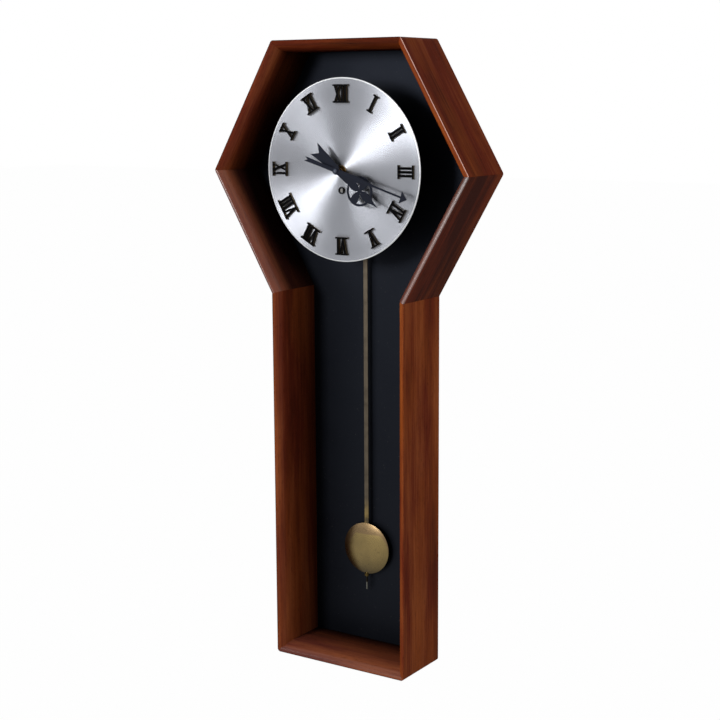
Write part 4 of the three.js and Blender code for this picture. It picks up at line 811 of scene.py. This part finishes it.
def lathe(name, profile, centre, steps, sharp_degrees=SHARP):
    """A turned mesh about a line through centre along Y. The profile is [radius, y] in
    millimetres from front to back, and a profile that ends off the axis closes on itself."""
    bm = bmesh.new()
    rings = []
    for radius, depth in profile:
        if radius == 0:
            rings.append([bm.verts.new(Vector((centre[0], depth, centre[1])) * MM)])
            continue
        ring = []
        for step in range(steps):
            turn = 2 * math.pi * step / steps
            spot = (centre[0] + radius * math.cos(turn), depth, centre[1] + radius * math.sin(turn))
            ring.append(bm.verts.new(Vector(spot) * MM))
        rings.append(ring)
    closed = profile[0][0] != 0
    pairs = list(zip(rings, rings[1:])) + ([(rings[-1], rings[0])] if closed else [])
    for here, there in pairs:
        for step in range(steps):
            after = (step + 1) % steps
            corners = [(here, step), (here, after), (there, after), (there, step)]
            loop = [ring[place_in % len(ring)] for ring, place_in in corners]
            bm.faces.new(list(dict.fromkeys(loop)))
    bmesh.ops.recalc_face_normals(bm, faces=bm.faces)
    mesh = bpy.data.meshes.new(name)
    bm.to_mesh(mesh)
    bm.free()
    smooth(mesh, sharp_degrees)
    return mesh


spun = Finish("spun_aluminium")
from_centre, radius = from_axis(spun, *DIAL_CENTRE)
outward = spun.node("ShaderNodeVectorMath", {"operation": "NORMALIZE"}, {0: from_centre})
rings = spun.bands(radius, 1100.0, 4.0, 0.7)
face_edge = DIAL_RADIUS - DIAL_BEVEL
past_collar = spun.between(radius, COLLAR * MM, (COLLAR + DIAL_SEAM) * MM)
on_rim = spun.between(radius, face_edge * MM, (face_edge + DIAL_SEAM) * MM)
off_collar = spun.between(radius, (COLLAR + DIAL_SEAM) * MM, (COLLAR + 2 * DIAL_SEAM) * MM)
on_face = off_collar * (1 - on_rim)
face = spun.node("ShaderNodeNewGeometry", output="Normal")
haze = spun.noise(spun.position, 45, detail=3.0)
grains = spun.noise(spun.position, 950, detail=2.0)
paler = spun.between(radius, *[zone * MM for zone in PALE_ZONE])
grain = 0.74 + rings * 0.26 + haze * 0.08 + grains * 0.18
aluminium = spun.shade(linear(ALUMINIUM), grain * (1 + paler * 0.15))
collar_brass = spun.blend(haze, linear(COLLAR_BRASS), linear(BRASS_TARNISH))
turned_colour = spun.blend(past_collar, collar_brass, aluminium)
spun_looks = {
    "Base_Color": spun.blend(on_rim, turned_colour, linear(RIM_GLINT_PAINT)),
    "Metallic": FACE_METAL - on_rim * (FACE_METAL - RIM_METAL),
    "Roughness": 0.15 + haze * 0.05 + rings * 0.05 + on_rim * 0.2,
}


def groove_side(lean):
    """The part of the brushed face that leans outward by a share of its height."""
    slant = (lean + (rings - 0.5) * GROOVE_JITTER) * on_face
    leaning = spun.node("ShaderNodeVectorMath", {"operation": "SCALE"}, {0: outward, "Scale": slant})
    tilted = spun.node("ShaderNodeVectorMath", {"operation": "ADD"}, {0: face, 1: leaning})
    normal = spun.node("ShaderNodeVectorMath", {"operation": "NORMALIZE"}, {0: tilted})
    return spun.principled(Normal=normal, **spun_looks)


brushed = groove_side(0)
for count, lean in enumerate(GROOVE_LEANS):
    share = 1 / (count + 2)
    brushed = spun.node("ShaderNodeMixShader", None, {0: share, 1: brushed, 2: groove_side(lean)})
spun_aluminium = spun.show(brushed)
collar_front = DIAL_FRONT - COLLAR_HEIGHT
dial_profile = [
    (DIAL_BORE, collar_front),
    (COLLAR - COLLAR_EDGE, collar_front),
    (COLLAR, collar_front + COLLAR_EDGE),
    (COLLAR, DIAL_FRONT),
    (face_edge, DIAL_FRONT),
    (DIAL_RADIUS - RIM_BREAK[0], DIAL_FRONT + BEVEL_FALL),
    (DIAL_RADIUS, DIAL_FRONT + RIM_BREAK[1]),
    (DIAL_RADIUS, DIAL_BACK),
    (DIAL_BORE, DIAL_BACK),
]
dial_mesh = lathe("spun_dial", dial_profile, DIAL_CENTRE, DIAL_FACETS)
dial = place("spun_dial", dial_mesh, spun_aluminium, "case")
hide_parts("dial_plate")
use("dial_plate", spun_aluminium)


# ---------------------------------------------------------------------------------------
# Winding eyelet
# A turned brass eyelet, blackened, pressed into the dial round the end of the winding
# arbor.

EYELET_BLACK = (2, 2, 2)
EYELET_WORN = (8, 7, 6)

blacking = Finish("blackened_brass")
tumbled = blacking.noise(blacking.position, 700, detail=2.0)
black_eyelet = blacking.surface(
    Base_Color=blacking.blend(tumbled, linear(EYELET_BLACK), linear(EYELET_WORN)),
    Roughness=0.42 + tumbled * 0.14,
    Specular_IOR_Level=0.03,
    Normal=blacking.relief(tumbled, SCRATCH_DEPTH),
)
use("winding_eyelet", black_eyelet)


# ---------------------------------------------------------------------------------------
# Numerals
# Twelve Roman numerals, die cast, plated with brass and painted black on their faces. The
# brass shows on their sides.

NUMERALS = ("I", "II", "III", "IV", "V", "VI", "VII", "VIII", "IX", "X", "XI", "XII")
NUMERAL_BLACK = (2, 2, 3)
NUMERAL_BRASS = (104, 88, 56)
NUMERAL_TARNISH = (44, 36, 24)
NUMERAL_EDGE = 0.18

cast = Finish("numeral_black_on_brass")
flat_side = cast.node("ShaderNodeNewGeometry", output="True Normal")
towards_front = {0: flat_side, 1: (0, -1, 0)}
facing = cast.node("ShaderNodeVectorMath", {"operation": "DOT_PRODUCT"}, towards_front, "Value")
worn = cast.noise(cast.position, 500, detail=3.0)
painted = cast.between(facing + (worn - 0.5) * 0.2, 0.66, 0.8)
brassy = cast.blend(worn, linear(NUMERAL_BRASS), linear(NUMERAL_TARNISH))
numeral_black = cast.surface(
    Base_Color=cast.blend(painted, brassy, linear(NUMERAL_BLACK)),
    Metallic=1 - painted,
    Roughness=0.24 + worn * 0.16,
    Specular_IOR_Level=0.02,
    Normal=cast.relief(worn, SCRATCH_DEPTH),
)
for letters in NUMERALS:
    fettled(f"numeral_{letters}", numeral_black, NUMERAL_EDGE)


# ---------------------------------------------------------------------------------------
# Hands
# Blanked from sheet steel and sprayed satin blue-black. The nut that holds the minute hand
# on its arbor is blued.

HAND_BLACK = (18, 22, 34)
HAND_EDGE = 0.14
NUT_BLUED = (58, 62, 72)
NUT_DARK = (30, 32, 38)
NUT_EDGE = 0.2

hand_paint = Finish("satin_hand_paint")
fine = hand_paint.noise(hand_paint.position, 900, detail=3.0)
broad = hand_paint.noise(hand_paint.position, 70, detail=3.0)
hand_black = hand_paint.surface(
    Base_Color=hand_paint.shade(linear(HAND_BLACK), 0.8 + broad * 0.4),
    Roughness=0.36 + broad * 0.14 + fine * 0.06,
    Specular_IOR_Level=0.065,
    Normal=hand_paint.relief(fine, SCRATCH_DEPTH),
)
for blade in ("hour_hand", "minute_hand"):
    fettled(blade, hand_black, HAND_EDGE)
fettled("hand_nut", metal("hand_nut_steel", NUT_BLUED, NUT_DARK, 0.3), NUT_EDGE)


# ---------------------------------------------------------------------------------------
# Pendulum
# A flat brass bar hung from a strip of spring steel. The bob is a pair of spun brass
# shells, lacquered and gone dull with age, and a knurled nut below it sets the rate.

AGED_BRASS = (127, 108, 65)
AGED_DARK = (108, 92, 56)
# Painted reflection: the brown of dark surroundings, painted round the bob's bright patch.
BOB_REFLECTION_PAINT = (100, 80, 56)
ROD_BRASS = (82, 74, 63)
ROD_DARK = (58, 52, 44)
TAIL_STEEL = (100, 100, 94)
THREAD_DARK = (34, 30, 24)
NUT_BRASS = (84, 70, 38)
NUT_TARNISH = (48, 38, 20)
HANDLED = (-525, -553)  # levels between which the bar grows cleaner, where hands hold it
NUT_LEVEL = -629
THREAD_END = -636.5
ROD_SEAM = 0.2  # over which one metal turns into the next
BOB_RADIUS = 33
BOB_LEVEL = -592
BOB_HALF = 5.0  # half of its thickness in the middle
BOB_EDGE = 1.1  # half of its thickness at the edge
BOB_FULLNESS = 2.5  # 2 is a parabola; more makes the middle flatter
BOB_STEPS = 18  # from the middle to the edge
BOB_FACETS = 96
BOB_SHARP = 35  # degrees
PATCH_RADIUS = 29  # of the bright patch on the bob, outside which the painted reflection lies
PATCH_CENTRE = (4, -4)  # x and z from the bob's middle
PATCH_TOP = 19  # above the bob's middle
PATCH_SIDE = -23.5
PATCH_RAGGED = 3  # how far its outline wanders
PATCH_FADE = (-0.6, 1.0)  # inside and outside its outline
SHADE_FULL = 32  # below the bob's middle, where the painted shade is full
BOB_RELIEF = 0.02
ROD_DEPTH = -17.5
BAR_SLOT = (3.2, 0.9, -11, 34)  # half width, half depth, and reach from the bob's middle
TAIL_SLOT = (1.5, 1.5, -34, -4)

rod_finish = Finish("rod_brass")
dulled = tarnish(rod_finish)
drawn = rod_finish.noise(rod_finish.position, 800, (1, 1, 0.03), 2.0, 0.6)
level = rod_finish.part(rod_finish.position, "Z")
below_nut = rod_finish.between(level, NUT_LEVEL * MM, (NUT_LEVEL - ROD_SEAM) * MM)
steel_end = rod_finish.between(level, THREAD_END * MM, (THREAD_END - ROD_SEAM) * MM)
handled = rod_finish.between(level, *[end * MM for end in HANDLED])
bar_brass = rod_finish.blend(handled, linear(ROD_BRASS), linear(AGED_BRASS))
bar_colour = rod_finish.blend(dulled, bar_brass, linear(ROD_DARK))
thread_colour = rod_finish.blend(steel_end, linear(THREAD_DARK), linear(TAIL_STEEL))
rod_colour = rod_finish.blend(below_nut, bar_colour, thread_colour)
rod_brass = rod_finish.surface(
    Base_Color=rod_finish.shade(rod_colour, 0.85 + drawn * 0.3),
    Metallic=1.0,
    Roughness=0.3 + dulled * 0.12 + drawn * 0.12,
    Normal=rod_finish.relief(drawn, SCRATCH_DEPTH),
)
use("pendulum_rod", rod_brass)

bob_finish = Finish("aged_bob_brass")
low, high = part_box("bob")
middle = (low + high) / 2 / MM
from_middle, reach = from_axis(bob_finish, middle.x, middle.z)
turning = bob_finish.bands(reach, 1500.0, 3.0)
patina = bob_finish.noise(bob_finish.position, 42, detail=5.0)
spots = bob_finish.between(bob_finish.noise(bob_finish.position, 260, detail=2.0), 0.62, 0.74)
shine = bob_finish.blend(bob_finish.between(patina, 0.35, 0.7), linear(AGED_BRASS), linear(AGED_DARK))
sideways, upward = bob_finish.part(from_middle, "X"), bob_finish.part(from_middle, "Z")
# Painted reflection: outside a bright patch, the top and left of the bob are painted brown, where dark
# surroundings would reflect.
from_patch = from_axis(bob_finish, middle.x + PATCH_CENTRE[0], middle.z + PATCH_CENTRE[1])[1]
past_top = upward - PATCH_TOP * MM
past_side = (sideways - PATCH_SIDE * MM) * -1
beyond = (from_patch - PATCH_RADIUS * MM).larger(past_top.larger(past_side))
ragged = beyond + (patina - 0.5) * (PATCH_RAGGED * MM)
painted_reflection = bob_finish.between(ragged, *[edge * MM for edge in PATCH_FADE]) * 0.8
tint = bob_finish.blend(painted_reflection, shine, linear(BOB_REFLECTION_PAINT))
# Painted shade: the bob is darker towards the bottom.
lower = bob_finish.between(upward * -1 + sideways * 0.2, 0, SHADE_FULL * MM)
shade_below = 1 - lower * (0.3 + lower * 0.4)
aged_bob_brass = bob_finish.surface(
    Base_Color=bob_finish.shade(tint, (0.9 + turning * 0.2) * (1 - spots * 0.25) * shade_below),
    Metallic=1.0,
    Roughness=0.2 + patina * 0.1 + turning * 0.06,
    Coat_Weight=0.3,
    Coat_Roughness=0.22,
    Normal=bob_finish.relief(turning, BOB_RELIEF),
)
half_profile = []
for step in range(BOB_STEPS + 1):
    out = step / BOB_STEPS
    half_profile.append((BOB_RADIUS * out, BOB_EDGE + (BOB_HALF - BOB_EDGE) * (1 - out**BOB_FULLNESS)))
front = [(radius, ROD_DEPTH - half) for radius, half in half_profile]
rear = [(radius, ROD_DEPTH + half) for radius, half in reversed(half_profile)]
bob_mesh = lathe("turned_bob", front + rear, (0, BOB_LEVEL), BOB_FACETS, BOB_SHARP)
bob = place("turned_bob", bob_mesh, aged_bob_brass, "bob")
for half_width, half_depth, start, end in (BAR_SLOT, TAIL_SLOT):
    slot_middle = (0, ROD_DEPTH, BOB_LEVEL + (start + end) / 2)
    carve(bob, slot_middle, (2 * half_width, 2 * half_depth, end - start))
smooth(bob.data, BOB_SHARP)
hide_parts("bob")
use("bob", aged_bob_brass)
use("rating_nut", metal("nut_brass", NUT_BRASS, NUT_TARNISH, 0.3))


# ---------------------------------------------------------------------------------------
# Studio
# The clock hangs before a plain pale room under five broad soft lamps: one in front and a
# little above, one at the left, two at the right and one behind. Its lengths are metres.

FLOOR_LEVEL = -2.6
ROOM = 40.0
FLOOR_PALE = (232, 232, 230)
WHITE = (1, 1, 1, 1)
ROOM_LIGHT = 0.08
RAYS = ("Camera", "Glossy", "Transmission")  # those that see the room as white
HEART = (0.0, 0.0, -0.3)  # where the lamps point
# Each lamp's place, width and height, and watts.
LAMPS = {
    "front lamp": ((-0.70, -2.52, 0.34), (0.64, 0.64), 44),
    "left lamp": ((-1.8, -1.55, 0.36), (0.5, 0.7), 12),
    "right lamp": ((2.4, 0.15, 0.5), (1.2, 1.6), 22),
    "near right lamp": ((2.3, -1.0, 0.45), (0.7, 0.9), 12),
    "rear lamp": ((-0.6, 2.6, 0.9), (1.6, 1.6), 30),
}

for name, (spot, size, watts) in LAMPS.items():
    light = bpy.data.lights.new(name, "AREA")
    light.shape = "RECTANGLE"
    light.size, light.size_y = size
    light.energy = watts
    lamp = bpy.data.objects.new(name, light)
    bpy.context.scene.collection.objects.link(lamp)
    lamp.location = spot
    lamp.rotation_euler = (Vector(HEART) - Vector(spot)).to_track_quat("-Z", "Y").to_euler()


class Surroundings(Finish):
    """The light all round, in the world's own nodes."""

    def __init__(self, world):
        world.use_nodes = True
        self.tree = world.node_tree
        self.tree.nodes.clear()


def looked_at(finish):
    """1 for the rays of the camera and for those that metal and glass send on."""
    rays = [finish.node("ShaderNodeLightPath", output=f"Is {ray} Ray") for ray in RAYS]
    return sum(rays[1:], rays[0]).clamped()


floor_mesh = bpy.data.meshes.new("floor")
corners = [(x * ROOM, y * ROOM, FLOOR_LEVEL) for x, y in ((-1, -1), (1, -1), (1, 1), (-1, 1))]
floor_mesh.from_pydata(corners, [], [(0, 1, 2, 3)])
floor = bpy.data.objects.new("floor", floor_mesh)
bpy.context.scene.collection.objects.link(floor)
pale = Finish("pale_floor")
grit = pale.noise(pale.position, 30, detail=3.0)
pale_colour = pale.shade(linear(FLOOR_PALE), 0.97 + grit * 0.06)
matt = pale.node("ShaderNodeBsdfDiffuse", None, {"Color": pale_colour})
glow = pale.node("ShaderNodeEmission", None, {"Color": WHITE, "Strength": 1.0})
mixed = pale.node("ShaderNodeMixShader", None, {0: looked_at(pale) * 0.99, 1: matt, 2: glow})
floor_mesh.materials.append(pale.show(mixed))

world = bpy.data.worlds.new("pale room")
bpy.context.scene.world = world
room = Surroundings(world)
ambient = room.node("ShaderNodeBackground", None, {"Color": WHITE, "Strength": ROOM_LIGHT})
backdrop = room.node("ShaderNodeBackground", None, {"Color": WHITE, "Strength": 1.0})
choice = room.node("ShaderNodeMixShader", None, {0: looked_at(room), 1: ambient, 2: backdrop})
room.node("ShaderNodeOutputWorld", None, {"Surface": choice}, None)

CAMERA_PLACE = (1.0063, -1.5552, -0.0237)
CAMERA_YAW = 33.436  # degrees, as are the next two
CAMERA_PITCH = -10.047
CAMERA_ROLL = -0.32
CAMERA_LENS = 75.07
camera_data = bpy.data.cameras.new("camera")
camera_data.sensor_width = 36
camera_data.lens = CAMERA_LENS
camera = bpy.data.objects.new("camera", camera_data)
bpy.context.scene.collection.objects.link(camera)
camera.matrix_world = (
    Matrix.Translation(CAMERA_PLACE)
    @ Matrix.Rotation(math.radians(CAMERA_YAW), 4, "Z")
    @ Matrix.Rotation(math.radians(90 + CAMERA_PITCH), 4, "X")
    @ Matrix.Rotation(math.radians(CAMERA_ROLL), 4, "Z")
)
bpy.context.scene.camera = camera
bpy.context.scene.view_settings.view_transform = "Standard"
